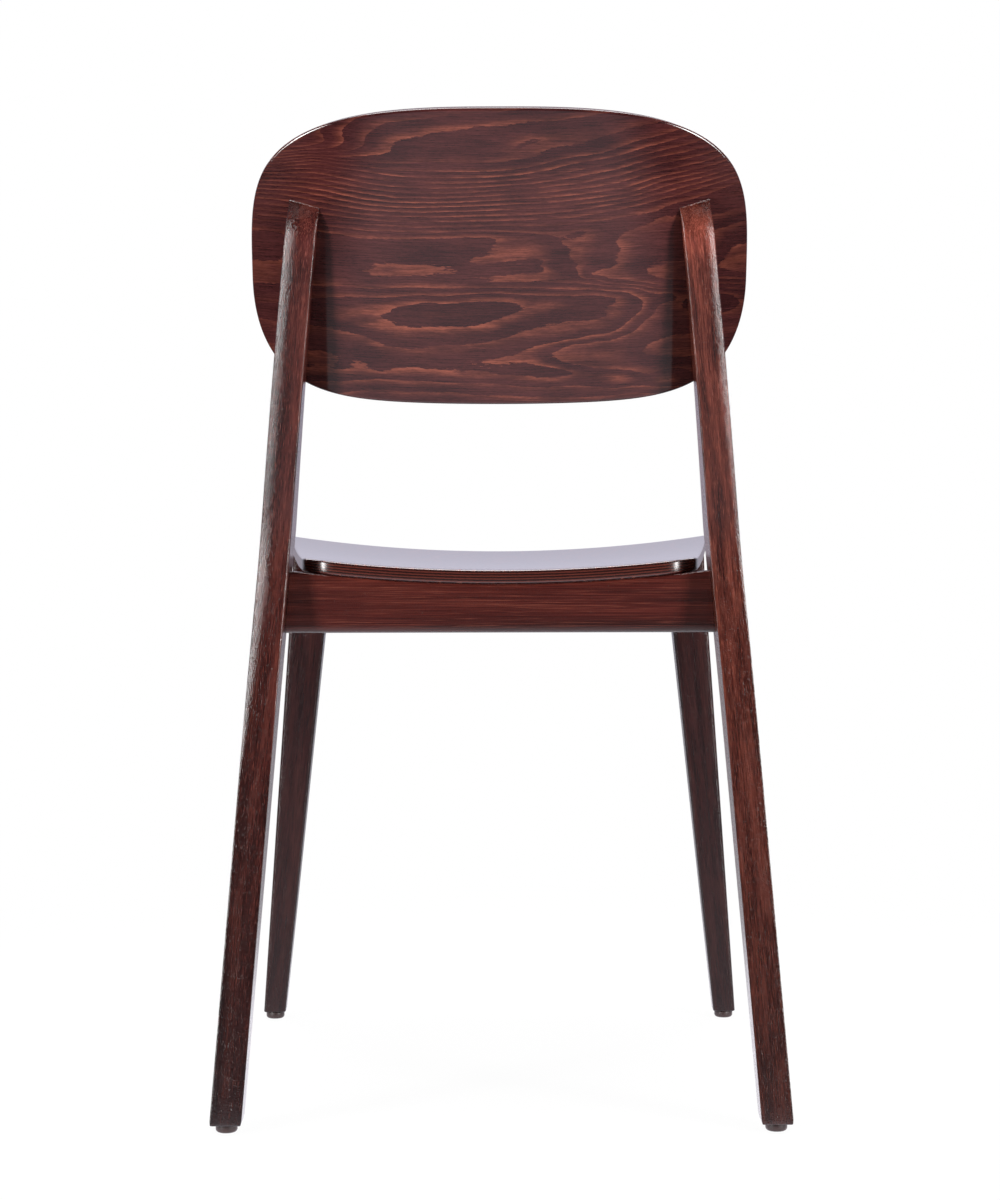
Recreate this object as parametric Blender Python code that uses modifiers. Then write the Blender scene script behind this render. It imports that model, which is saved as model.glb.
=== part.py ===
# Side chair: a solid wood frame, a dished plywood seat and a bent plywood backrest.
# The floor is z = 0, the chair faces -Y, and left is the sitter's left, on +X.

import bmesh
import bpy
from math import asin, cos, pi, radians, sin, sqrt, tan
from mathutils import Matrix, Vector

OBJECT_NAME = "side_chair"

# Fits
CLEARANCE = 0.0003

# Height of the seat's top at its rear edge, from which rises and drops are measured
SEAT_REAR_HEIGHT = 0.4467

# Stance of the legs
OVERALL_DEPTH = 0.506
REAR_FOOT_HALF_WIDTH = 0.2331
FRONT_FOOT_HALF_WIDTH = 0.2306
LEG_SPLAY = radians(4.15)

# Rear leg, one curved piece that runs up behind the backrest
REAR_LEG_WIDTH = 0.0255
REAR_FOOT_DEPTH = 0.0265
REAR_KNEE_RISE = 0.0133
REAR_KNEE_SETBACK = 0.090
REAR_KNEE_DEPTH = 0.050
REAR_KNEE_SOFTENING = 0.035
POST_LEAN = radians(8.7)
POST_BOW_START = 0.300
POST_BOW_RADIUS = 11.5
POST_BEND_RISE = 0.2653
POST_TOP_RADIUS = 0.040
POST_TOP_ARC = radians(72)
REAR_LEG_ROUNDING = 0.003

# Front leg, tapered to the foot
FRONT_FOOT_SIZE = 0.021
FRONT_LEG_WIDENING = 0.0354
FRONT_LEG_DEEPENING = 0.030
FRONT_LEG_SETBACK = 0.014
FRONT_LEG_ROUNDING = 0.003

# Rails
RAIL_DROP = 0.0522
RAIL_ROUNDING = 0.002
REAR_RAIL_THICKNESS = 0.020
FRONT_RAIL_THICKNESS = 0.020
FRONT_RAIL_INSET = 0.0045
SIDE_RAIL_HEIGHT = 0.0445
SIDE_RAIL_THICKNESS = 0.021
SIDE_RAIL_INSET = 0.0025

# Seat, moulded plywood
SEAT_REAR_BEFORE_KNEE = 0.013
SEAT_THICKNESS = 0.0115
SEAT_REAR_HALF_WIDTH = 0.163
SEAT_FRONT_HALF_WIDTH = 0.206
SEAT_CREST_RISE = 0.0102
SEAT_CREST_SETBACK = 0.050
SEAT_DIP = 0.0015
SEAT_FRONT_DROP = 0.012
SEAT_DISH_RADIUS = 1.33
SEAT_REAR_CORNER_RADIUS = 0.028
SEAT_FRONT_CORNER_RADIUS = 0.045
SEAT_EDGE_ROUNDING = 0.003

# Backrest, plywood bent round an upright cylinder that leans back
BACK_LEAN = radians(16.0)
BACK_BEND_RADIUS = 0.500
BACK_THICKNESS = 0.0105
BACK_HALF_WIDTH = 0.210
BACK_UPPER_HEIGHT = 0.1417
BACK_UPPER_FLATNESS = 2.65
BACK_UPPER_FULLNESS = 3.8
BACK_LOWER_HEIGHT = 0.0989
BACK_LOWER_FLATNESS = 5.4
BACK_LOWER_FULLNESS = 2.23
BACK_CENTRE_RISE = 0.2309
BACK_CENTRE_BEHIND_KNEE = 0.0376
BACK_EDGE_ROUNDING = 0.003

# Corner blocks behind the rails
BLOCK_ARM = 0.060
BLOCK_LEG_GAP = 0.004
BLOCK_HEIGHT = 0.028
BLOCK_RAISE = 0.0055

# Dowels
RAIL_DOWEL_RADIUS = 0.004
RAIL_DOWEL_LENGTH = 0.036
CROSS_DOWEL_IN_LEG = 0.016
SIDE_DOWEL_IN_LEG = 0.010
DOWEL_EDGE_DISTANCE = 0.011
DOWEL_SPACING = 0.022
CROSS_DOWEL_OFFSET = 0.0025
BACK_DOWEL_RADIUS = 0.004
BACK_DOWEL_IN_PANEL = 0.0065
BACK_DOWEL_IN_POST = 0.0145
BACK_DOWEL_RISE = 0.195
BACK_DOWEL_SPACING = 0.050

# Screws
SCREW_SHANK_RADIUS = 0.002
SCREW_HEAD_RADIUS = 0.0038
SCREW_HEAD_HEIGHT = 0.0024
SCREW_TIP_LENGTH = 0.003
BLOCK_SCREW_REACH = 0.038
BLOCK_SCREW_SEAT = 0.015
BLOCK_SCREW_BITE = 0.011
SEAT_SCREW_REACH = 0.026
SEAT_SCREW_BITE = 0.0075

# Glides under the feet
GLIDE_RADIUS = 0.0088
GLIDE_HEIGHT = 0.0065
GLIDE_DOME = 0.0028
GLIDE_RECESS_RADIUS = 0.0036
GLIDE_RECESS_DEPTH = 0.0024
NAIL_SHANK_RADIUS = 0.0013
NAIL_HEAD_RADIUS = 0.0031
NAIL_HEAD_HEIGHT = 0.0012
NAIL_LENGTH = 0.020

# Facets
ROUND_STEPS = 12
GLIDE_STEPS = 24
GLIDE_DOME_STEPS = 4
EDGE_SEGMENTS = 2
LEG_BOW_CUTS = 3
KNEE_CUTS = 6
POST_CUTS = 6
POST_TOP_CUTS = 7
LEG_TOP_CUTS = 3
RAIL_CUTS = 16
SEAT_CUTS_ACROSS = 16
SEAT_CUTS_DEEP = 11
SEAT_REAR_CORNER_CUTS = 6
SEAT_FRONT_CORNER_CUTS = 8
BACK_CUTS = 44
BACK_BEND_STEPS = 180
SHARP_ANGLE = radians(50)
MERGE_DISTANCE = 0.00001
ALIGNED = cos(radians(45))

# Lines that several pieces share
REAR_Y = OVERALL_DEPTH / 2
FRONT_Y = -OVERALL_DEPTH / 2
FOOT_Z = GLIDE_HEIGHT + CLEARANCE
RAIL_BOTTOM_HEIGHT = SEAT_REAR_HEIGHT - RAIL_DROP
SEAT_CREST_HEIGHT = SEAT_REAR_HEIGHT + SEAT_CREST_RISE
REAR_KNEE_HEIGHT = SEAT_REAR_HEIGHT + REAR_KNEE_RISE
POST_BEND_HEIGHT = SEAT_REAR_HEIGHT + POST_BEND_RISE
BACK_CENTRE_HEIGHT = SEAT_REAR_HEIGHT + BACK_CENTRE_RISE
REAR_KNEE_Y = REAR_Y - REAR_KNEE_SETBACK
SEAT_REAR_Y = REAR_KNEE_Y - SEAT_REAR_BEFORE_KNEE
SEAT_DEPTH = SEAT_REAR_Y - FRONT_Y
SEAT_CREST_Y = FRONT_Y + SEAT_CREST_SETBACK
REAR_RAIL_Y = SEAT_REAR_Y - REAR_RAIL_THICKNESS
FRONT_LEG_Y = FRONT_Y + FRONT_LEG_SETBACK
FRONT_RAIL_Y = FRONT_LEG_Y + FRONT_RAIL_INSET
SIDE_RAIL_TOP = RAIL_BOTTOM_HEIGHT + SIDE_RAIL_HEIGHT
BACK_CENTRE_Y = REAR_KNEE_Y + BACK_CENTRE_BEHIND_KNEE
SIDES = (("left", 1), ("right", -1))


# Scene helpers

def clear_scene():
    for item in list(bpy.data.objects):
        bpy.data.objects.remove(item, do_unlink=True)


def make_collection(name):
    collection = bpy.data.collections.new(name)
    bpy.context.scene.collection.children.link(collection)
    return collection


def make_material(name, colour, roughness, metallic):
    material = bpy.data.materials.new(name)
    material.use_nodes = True
    shader = material.node_tree.nodes["Principled BSDF"]
    shader.inputs["Base Color"].default_value = (*colour, 1.0)
    shader.inputs["Roughness"].default_value = roughness
    shader.inputs["Metallic"].default_value = metallic
    material.diffuse_color = (*colour, 1.0)
    return material


def mesh_object(name, bm, finish, smooth=True):
    mesh = bpy.data.meshes.new(name)
    bmesh.ops.recalc_face_normals(bm, faces=bm.faces)
    bm.to_mesh(mesh)
    bm.free()
    if smooth:
        mesh.shade_smooth()
        mesh.set_sharp_from_angle(angle=SHARP_ANGLE)
    item = bpy.data.objects.new(name, mesh)
    mesh.materials.append(make_material(name, *finish))
    parts.objects.link(item)
    return item


# A box with cuts across it, whose corners a function then moves into place

def shaped_box(spans, cuts, place):
    bm = bmesh.new()
    bmesh.ops.create_cube(bm, size=1.0)
    for vert in bm.verts:
        for axis, (low, high) in enumerate(spans):
            vert.co[axis] = low + (vert.co[axis] + 0.5) * (high - low)
    for axis, stations in enumerate(cuts):
        normal = Vector((0, 0, 0))
        normal[axis] = 1
        for station in stations:
            everything = bm.verts[:] + bm.edges[:] + bm.faces[:]
            bmesh.ops.bisect_plane(
                bm, geom=everything, dist=MERGE_DISTANCE, plane_co=normal * station, plane_no=normal
            )
    for vert in bm.verts:
        vert.co = place(*vert.co)
    bmesh.ops.recalc_face_normals(bm, faces=bm.faces)
    return bm


def round_edges(bm, radius, along=None):
    def is_wanted(edge):
        if len(edge.link_faces) != 2 or edge.calc_face_angle() < SHARP_ANGLE:
            return False
        if along is None:
            return True
        first, second = edge.verts
        return abs((first.co - second.co).normalized().dot(along)) > ALIGNED

    bmesh.ops.bevel(
        bm,
        geom=[edge for edge in bm.edges if is_wanted(edge)],
        offset=radius,
        offset_type="OFFSET",
        segments=EDGE_SEGMENTS,
        profile=0.5,
        affect="EDGES",
        clamp_overlap=True,
    )


def steps_between(low, high, count):
    return [low + (high - low) * index / count for index in range(1, count)]


# Turned pieces stand on a profile of radius and height, drawn from the top down

def turned_object(name, profile, steps, frame, finish):
    mesh = bpy.data.meshes.new(name)
    points = [(radius, 0.0, height) for radius, height in profile]
    mesh.from_pydata(points, [(index, index + 1) for index in range(len(points) - 1)], [])
    item = bpy.data.objects.new(name, mesh)
    item.matrix_world = frame
    screw = item.modifiers.new("Turn", "SCREW")
    screw.steps = steps
    screw.render_steps = steps
    screw.use_merge_vertices = True
    screw.merge_threshold = MERGE_DISTANCE
    screw.use_smooth_shade = True
    if finish is None:
        cutters.objects.link(item)
        item.hide_render = True
        item.display_type = "WIRE"
    else:
        mesh.materials.append(make_material(name, *finish))
        parts.objects.link(item)
    return item


def frame_along(origin, direction):
    turn = Vector((0, 0, 1)).rotation_difference(Vector(direction)).to_matrix().to_4x4()
    return Matrix.Translation(Vector(origin)) @ turn


def rod_profile(radius, low, high):
    return [(0.0, high), (radius, high), (radius, low), (0.0, low)]


def cut_with(pieces, cutter):
    for piece in pieces:
        boolean = piece.modifiers.new(cutter.name, "BOOLEAN")
        boolean.operation = "DIFFERENCE"
        boolean.solver = "EXACT"
        boolean.object = cutter


# A dowel runs from -back to +forward along its direction, in a hole of the same shape

def fit_dowel(name, point, direction, back, forward, radius, pieces):
    frame = frame_along(point, direction)
    turned_object(name, rod_profile(radius, -back, forward), ROUND_STEPS, frame, DOWEL_WOOD)
    hole = rod_profile(radius + CLEARANCE, -back - CLEARANCE, forward + CLEARANCE)
    cut_with(pieces, turned_object(name + "_hole", hole, ROUND_STEPS, frame, None))


# A screw's origin is under its head, and it points along its direction

def fit_screw(name, point, direction, length, pieces):
    frame = frame_along(point, direction)
    tip_start = length - SCREW_TIP_LENGTH
    body = [
        (0.0, length),
        (SCREW_SHANK_RADIUS, tip_start),
        (SCREW_SHANK_RADIUS, CLEARANCE),
        (SCREW_HEAD_RADIUS, -CLEARANCE),
        (SCREW_HEAD_RADIUS, -SCREW_HEAD_HEIGHT),
        (0.0, -SCREW_HEAD_HEIGHT),
    ]
    turned_object(name, body, ROUND_STEPS, frame, SCREW_STEEL)
    hole = [
        (0.0, length + CLEARANCE),
        (SCREW_SHANK_RADIUS + CLEARANCE, length + CLEARANCE),
        (SCREW_SHANK_RADIUS + CLEARANCE, CLEARANCE),
        (SCREW_HEAD_RADIUS + CLEARANCE, CLEARANCE),
        (SCREW_HEAD_RADIUS + CLEARANCE, -BLOCK_ARM),
        (0.0, -BLOCK_ARM),
    ]
    cut_with(pieces, turned_object(name + "_hole", hole, ROUND_STEPS, frame, None))


# Lines of the legs

def bent_line(t, at_knee, slope_below, slope_above, softening):
    if t < -softening:
        return at_knee + slope_below * t
    if t > softening:
        return at_knee + slope_above * t
    turn = (slope_above - slope_below) * (t + softening) ** 2 / (4 * softening)
    return at_knee + slope_below * t + turn


def rear_leg_outer_x(z):
    bow = max(0.0, z - POST_BOW_START)
    return REAR_FOOT_HALF_WIDTH - z * tan(LEG_SPLAY) - bow * bow / (2 * POST_BOW_RADIUS)


def rear_leg_inner_x(z):
    return rear_leg_outer_x(z) - REAR_LEG_WIDTH


def post_face_y(z):
    slope_below = -REAR_KNEE_SETBACK / (REAR_KNEE_HEIGHT - FOOT_Z)
    rise = z - REAR_KNEE_HEIGHT
    return bent_line(rise, REAR_KNEE_Y, slope_below, tan(POST_LEAN), REAR_KNEE_SOFTENING)


def rear_leg_back_y(z):
    if z <= POST_BEND_HEIGHT:
        return post_face_y(z)
    centre_y = post_face_y(POST_BEND_HEIGHT) - POST_TOP_RADIUS * cos(POST_LEAN)
    centre_z = POST_BEND_HEIGHT + POST_TOP_RADIUS * sin(POST_LEAN)
    return centre_y + sqrt(POST_TOP_RADIUS ** 2 - (z - centre_z) ** 2)


def rear_leg_front_y(z):
    knee_y = REAR_KNEE_Y - REAR_KNEE_DEPTH
    foot_y = REAR_Y - REAR_FOOT_DEPTH
    slope_below = (knee_y - foot_y) / (REAR_KNEE_HEIGHT - FOOT_Z)
    return bent_line(z - REAR_KNEE_HEIGHT, knee_y, slope_below, 0.0, REAR_KNEE_SOFTENING)


def front_leg_outer_x(z):
    return FRONT_FOOT_HALF_WIDTH - z * tan(LEG_SPLAY)


def front_leg_inner_x(z):
    return front_leg_outer_x(z) - FRONT_FOOT_SIZE - z * FRONT_LEG_WIDENING


def front_leg_back_y(z):
    return FRONT_LEG_Y + FRONT_FOOT_SIZE + z * FRONT_LEG_DEEPENING


# Surface and outline of the seat

def seat_top_z(x, y):
    run = (SEAT_REAR_Y - y) / (SEAT_REAR_Y - SEAT_CREST_Y)
    if run <= 1.0:
        rise = SEAT_CREST_HEIGHT - SEAT_REAR_HEIGHT
        spine = SEAT_REAR_HEIGHT + rise * run * run - SEAT_DIP * sin(pi * run)
    else:
        roll = (SEAT_CREST_Y - y) / SEAT_CREST_SETBACK
        spine = SEAT_CREST_HEIGHT - SEAT_FRONT_DROP * roll * roll
    return spine + x * x / (2 * SEAT_DISH_RADIUS)


def seat_underside_z(x, y):
    return seat_top_z(x, y) - SEAT_THICKNESS


def corner_cut(radius, distance):
    inside = min(radius, max(0.0, radius - distance))
    return radius - sqrt(radius ** 2 - inside ** 2)


def seat_half_width(y):
    run = (SEAT_REAR_Y - y) / SEAT_DEPTH
    straight = SEAT_REAR_HALF_WIDTH + (SEAT_FRONT_HALF_WIDTH - SEAT_REAR_HALF_WIDTH) * run
    rear_cut = corner_cut(SEAT_REAR_CORNER_RADIUS, SEAT_REAR_Y - y)
    return straight - rear_cut - corner_cut(SEAT_FRONT_CORNER_RADIUS, y - FRONT_Y)


# Sheet of the backrest: u runs along the bend, v up the panel, inset into its thickness

def back_point(u, v, inset):
    angle = u / BACK_BEND_RADIUS
    radius = BACK_BEND_RADIUS - inset
    x = radius * sin(angle)
    out = radius * cos(angle) - BACK_BEND_RADIUS
    y = BACK_CENTRE_Y + out * cos(BACK_LEAN) + v * sin(BACK_LEAN)
    z = BACK_CENTRE_HEIGHT - out * sin(BACK_LEAN) + v * cos(BACK_LEAN)
    return Vector((x, y, z))


def back_edge_v(u, height, flatness, fullness):
    share = min(1.0, abs(u) / BACK_HALF_WIDTH)
    return height * (1.0 - share ** flatness) ** (1.0 / fullness)


def back_surface_y(x, z):
    u = BACK_BEND_RADIUS * asin(x / BACK_BEND_RADIUS)
    flat = back_point(u, 0.0, 0.0)
    return flat.y + (z - flat.z) * tan(BACK_LEAN)


# Legs

def build_rear_leg(side_name, side):
    top = POST_BEND_HEIGHT + POST_TOP_RADIUS * (sin(POST_LEAN) + sin(POST_TOP_ARC))
    knee_low = REAR_KNEE_HEIGHT - REAR_KNEE_SOFTENING
    knee_high = REAR_KNEE_HEIGHT + REAR_KNEE_SOFTENING
    stations = [POST_BOW_START, knee_low, knee_high, POST_BEND_HEIGHT]
    stations += steps_between(POST_BOW_START, knee_low, LEG_BOW_CUTS)
    stations += steps_between(knee_low, knee_high, KNEE_CUTS)
    stations += steps_between(knee_high, POST_BEND_HEIGHT, POST_CUTS)
    stations += steps_between(POST_BEND_HEIGHT, top, POST_TOP_CUTS)

    def place(across, deep, z):
        x = rear_leg_inner_x(z) + across * REAR_LEG_WIDTH
        y = rear_leg_front_y(z) + deep * (rear_leg_back_y(z) - rear_leg_front_y(z))
        return Vector((side * x, y, z))

    bm = shaped_box(((0, 1), (0, 1), (FOOT_Z, top)), ((), (), sorted(stations)), place)
    round_edges(bm, REAR_LEG_ROUNDING)
    return mesh_object("rear_leg_" + side_name, bm, FRAME_WOOD)


def build_front_leg(side_name, side):
    # The top is cut to the underside of the seat
    def place(across, deep, up):
        z = SEAT_CREST_HEIGHT - SEAT_THICKNESS if up else FOOT_Z
        x = front_leg_inner_x(z) + across * (front_leg_outer_x(z) - front_leg_inner_x(z))
        y = FRONT_LEG_Y + deep * (front_leg_back_y(z) - FRONT_LEG_Y)
        if up:
            z = seat_underside_z(x, y) - CLEARANCE
        return Vector((side * x, y, z))

    cuts = steps_between(0, 1, LEG_TOP_CUTS)
    bm = shaped_box(((0, 1), (0, 1), (0, 1)), (cuts, cuts, ()), place)
    round_edges(bm, FRONT_LEG_ROUNDING, Vector((0, 0, 1)))
    return mesh_object("front_leg_" + side_name, bm, FRAME_WOOD)


# Rails

def build_cross_rail(name, front_y, thickness, inner_x):
    # The top follows the underside of the seat
    def place(across, deep, up):
        y = front_y + deep * thickness
        z = SEAT_REAR_HEIGHT if up else RAIL_BOTTOM_HEIGHT
        x = across * (inner_x(z) - CLEARANCE)
        if up:
            z = seat_underside_z(x, y) - CLEARANCE
        return Vector((x, y, z))

    cuts = (steps_between(-1, 1, RAIL_CUTS), (), ())
    bm = shaped_box(((-1, 1), (0, 1), (0, 1)), cuts, place)
    round_edges(bm, RAIL_ROUNDING, Vector((1, 0, 0)))
    return mesh_object(name, bm, FRAME_WOOD)


def side_rail_outer_x(y, z):
    front_end = front_leg_back_y(z)
    rear_end = rear_leg_front_y(z)
    share = (y - front_end) / (rear_end - front_end)
    gap = rear_leg_outer_x(z) - front_leg_outer_x(z)
    return front_leg_outer_x(z) + gap * share - SIDE_RAIL_INSET


def build_side_rail(side_name, side):
    def place(across, along, z):
        front_end = front_leg_back_y(z) + CLEARANCE
        rear_end = rear_leg_front_y(z) - CLEARANCE
        y = front_end + along * (rear_end - front_end)
        x = side_rail_outer_x(y, z) - (1 - across) * SIDE_RAIL_THICKNESS
        return Vector((side * x, y, z))

    bm = shaped_box(((0, 1), (0, 1), (RAIL_BOTTOM_HEIGHT, SIDE_RAIL_TOP)), ((), (), ()), place)
    round_edges(bm, RAIL_ROUNDING, Vector((0, 1, 0)))
    return mesh_object("side_rail_" + side_name, bm, FRAME_WOOD)


# Corner blocks: a clipped triangle in plan, its edges a clearance off both rails

def block_corner(end_name, z):
    if end_name == "rear":
        y = REAR_RAIL_Y - CLEARANCE
    else:
        y = FRONT_RAIL_Y + FRONT_RAIL_THICKNESS + CLEARANCE
    return side_rail_outer_x(y, z) - SIDE_RAIL_THICKNESS - CLEARANCE, y


def block_corner_cut(end_name, z):
    corner_x, corner_y = block_corner(end_name, z)
    if end_name == "rear":
        leg_reach = corner_x - rear_leg_inner_x(z)
        leg_depth = corner_y - rear_leg_front_y(z)
    else:
        leg_reach = corner_x - front_leg_inner_x(z)
        leg_depth = front_leg_back_y(z) - corner_y
    return leg_reach + leg_depth + BLOCK_LEG_GAP


def build_corner_block(end_name, side_name, side):
    inward = -1 if end_name == "rear" else 1
    low = RAIL_BOTTOM_HEIGHT + BLOCK_RAISE
    corner_cut = block_corner_cut(end_name, low + BLOCK_HEIGHT)
    outline = ((corner_cut, 0.0), (BLOCK_ARM, 0.0), (0.0, BLOCK_ARM), (0.0, corner_cut))
    bm = bmesh.new()
    rings = []
    for z in (low, low + BLOCK_HEIGHT):
        corner_y = block_corner(end_name, z)[1]
        ring = []
        for reach, depth in outline:
            y = corner_y + inward * depth
            wall_x = side_rail_outer_x(y, z) - SIDE_RAIL_THICKNESS - CLEARANCE
            ring.append(bm.verts.new((side * (wall_x - reach), y, z)))
        rings.append(ring)
    bottom = bm.faces.new(rings[0])
    top = bm.faces.new(rings[1])
    bmesh.ops.bridge_loops(bm, edges=bottom.edges[:] + top.edges[:])
    return mesh_object("corner_block_%s_%s" % (end_name, side_name), bm, BLOCK_WOOD, False)


# Seat and backrest

def seat_rows():
    rear_corner_y = SEAT_REAR_Y - SEAT_REAR_CORNER_RADIUS
    rows = steps_between(SEAT_CREST_Y, rear_corner_y, SEAT_CUTS_DEEP) + [SEAT_CREST_Y, rear_corner_y]
    for turn in steps_between(0, pi / 2, SEAT_REAR_CORNER_CUTS):
        rows.append(SEAT_REAR_Y - SEAT_REAR_CORNER_RADIUS * (1 - cos(turn)))
    for turn in steps_between(0, pi / 2, SEAT_FRONT_CORNER_CUTS) + [pi / 2]:
        rows.append(FRONT_Y + SEAT_FRONT_CORNER_RADIUS * (1 - cos(turn)))
    return sorted(rows)


def build_seat():
    def place(across, y, up):
        x = across * seat_half_width(y)
        return Vector((x, y, seat_underside_z(x, y) + up * SEAT_THICKNESS))

    spans = ((-1, 1), (FRONT_Y, SEAT_REAR_Y), (0, 1))
    cuts = (steps_between(-1, 1, SEAT_CUTS_ACROSS), seat_rows(), ())
    bm = shaped_box(spans, cuts, place)
    round_edges(bm, SEAT_EDGE_ROUNDING)
    return mesh_object("seat_panel", bm, VENEER)


def build_back():
    # The columns crowd toward the ends, where the outline turns
    def place(turn, up, deep):
        u = BACK_HALF_WIDTH * sin(turn * pi / 2)
        if up > 0:
            v = back_edge_v(u, BACK_UPPER_HEIGHT, BACK_UPPER_FLATNESS, BACK_UPPER_FULLNESS)
        else:
            v = -back_edge_v(u, BACK_LOWER_HEIGHT, BACK_LOWER_FLATNESS, BACK_LOWER_FULLNESS)
        return back_point(u, v, (1 - deep) * BACK_THICKNESS)

    cuts = (steps_between(-1, 1, BACK_CUTS), (), ())
    bm = shaped_box(((-1, 1), (-1, 1), (0, 1)), cuts, place)
    bmesh.ops.remove_doubles(bm, verts=bm.verts, dist=MERGE_DISTANCE)
    round_edges(bm, BACK_EDGE_ROUNDING)
    return mesh_object("back_panel", bm, VENEER)


# The posts are shaped to the bend of the backrest

def cut_posts_to_back(legs):
    length = 2 * (BACK_UPPER_HEIGHT + BACK_LOWER_HEIGHT)
    bm = bmesh.new()
    bmesh.ops.create_cone(
        bm,
        cap_ends=True,
        segments=BACK_BEND_STEPS,
        radius1=BACK_BEND_RADIUS + CLEARANCE,
        radius2=BACK_BEND_RADIUS + CLEARANCE,
        depth=length,
    )
    cutter = mesh_object("back_bend", bm, VENEER)
    parts.objects.unlink(cutter)
    cutters.objects.link(cutter)
    cutter.hide_render = True
    cutter.display_type = "WIRE"
    axis = Vector((0, sin(BACK_LEAN), cos(BACK_LEAN)))
    centre = back_point(0.0, 0.0, BACK_BEND_RADIUS)
    cutter.matrix_world = frame_along(centre, axis)
    cut_with(legs, cutter)


# Dowels between the rails and the legs, numbered from below

def fit_rail_dowels(pieces):
    for end_name, rail_y, thickness, inner_x in CROSS_RAIL_ENDS:
        for side_name, side in SIDES:
            for number in (1, 2):
                z = RAIL_BOTTOM_HEIGHT + DOWEL_EDGE_DISTANCE + DOWEL_SPACING * (number - 1)
                offset = CROSS_DOWEL_OFFSET if end_name == "rear" else -CROSS_DOWEL_OFFSET
                point = (side * inner_x(z), rail_y + thickness / 2 + offset, z)
                fit_dowel(
                    "%s_rail_dowel_%s_%d" % (end_name, side_name, number),
                    point,
                    (side, 0, 0),
                    RAIL_DOWEL_LENGTH - CROSS_DOWEL_IN_LEG,
                    CROSS_DOWEL_IN_LEG,
                    RAIL_DOWEL_RADIUS,
                    (pieces[end_name + "_rail"], pieces["%s_leg_%s" % (end_name, side_name)]),
                )


def fit_side_dowels(pieces):
    for end_name, end_y, outward in (("rear", rear_leg_front_y, 1), ("front", front_leg_back_y, -1)):
        for side_name, side in SIDES:
            for number in (1, 2):
                z = RAIL_BOTTOM_HEIGHT + DOWEL_EDGE_DISTANCE + DOWEL_SPACING * (number - 1)
                y = end_y(z)
                x = side_rail_outer_x(y, z) - SIDE_RAIL_THICKNESS / 2
                fit_dowel(
                    "side_rail_dowel_%s_%s_%d" % (end_name, side_name, number),
                    (side * x, y, z),
                    (0, outward, 0),
                    RAIL_DOWEL_LENGTH - SIDE_DOWEL_IN_LEG,
                    SIDE_DOWEL_IN_LEG,
                    RAIL_DOWEL_RADIUS,
                    (pieces["side_rail_" + side_name], pieces["%s_leg_%s" % (end_name, side_name)]),
                )


def fit_back_dowels(pieces):
    backward = (0, cos(BACK_LEAN), -sin(BACK_LEAN))
    for side_name, side in SIDES:
        for number in (1, 2):
            z = SEAT_REAR_HEIGHT + BACK_DOWEL_RISE + BACK_DOWEL_SPACING * (number - 1)
            x = rear_leg_outer_x(z) - REAR_LEG_WIDTH / 2
            fit_dowel(
                "back_dowel_%s_%d" % (side_name, number),
                (side * x, back_surface_y(x, z), z),
                backward,
                BACK_DOWEL_IN_PANEL,
                BACK_DOWEL_IN_POST,
                BACK_DOWEL_RADIUS,
                (pieces["back_panel"], pieces["rear_leg_" + side_name]),
            )


# Screws: two hold each block to its rails, one goes up through it into the seat

def fit_screws(pieces):
    for end_name, outward in (("rear", 1), ("front", -1)):
        for side_name, side in SIDES:
            block = pieces["corner_block_%s_%s" % (end_name, side_name)]
            place_name = "%s_%s" % (end_name, side_name)
            z = RAIL_BOTTOM_HEIGHT + BLOCK_RAISE + BLOCK_HEIGHT / 2
            corner_x, corner_y = block_corner(end_name, z)
            length = BLOCK_SCREW_SEAT + BLOCK_SCREW_BITE
            fit_screw(
                "block_screw_%s_cross" % place_name,
                (side * (corner_x - BLOCK_SCREW_REACH), corner_y - outward * BLOCK_SCREW_SEAT, z),
                (0, outward, 0),
                length,
                (block, pieces[end_name + "_rail"]),
            )
            fit_screw(
                "block_screw_%s_side" % place_name,
                (side * (corner_x - BLOCK_SCREW_SEAT), corner_y - outward * BLOCK_SCREW_REACH, z),
                (side, 0, 0),
                length,
                (block, pieces["side_rail_" + side_name]),
            )
            x = corner_x - SEAT_SCREW_REACH
            y = corner_y - outward * SEAT_SCREW_REACH
            low = RAIL_BOTTOM_HEIGHT + BLOCK_RAISE - CLEARANCE
            fit_screw(
                "seat_screw_" + place_name,
                (side * x, y, low),
                (0, 0, 1),
                seat_underside_z(x, y) + SEAT_SCREW_BITE - low,
                (block, pieces["seat_panel"]),
            )


# Glides, each held by a nail that runs up into the foot

def glide_profile():
    outline = [(GLIDE_RECESS_RADIUS, 0.0), (GLIDE_RECESS_RADIUS, GLIDE_RECESS_DEPTH)]
    outline += [(NAIL_SHANK_RADIUS + CLEARANCE, GLIDE_RECESS_DEPTH)]
    outline += [(NAIL_SHANK_RADIUS + CLEARANCE, GLIDE_HEIGHT), (GLIDE_RADIUS, GLIDE_HEIGHT)]
    for step in range(GLIDE_DOME_STEPS + 1):
        angle = pi / 2 * step / GLIDE_DOME_STEPS
        radius = GLIDE_RADIUS - GLIDE_DOME * (1 - cos(angle))
        outline.append((radius, GLIDE_DOME * (1 - sin(angle))))
    outline.append(outline[0])
    return outline


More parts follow.
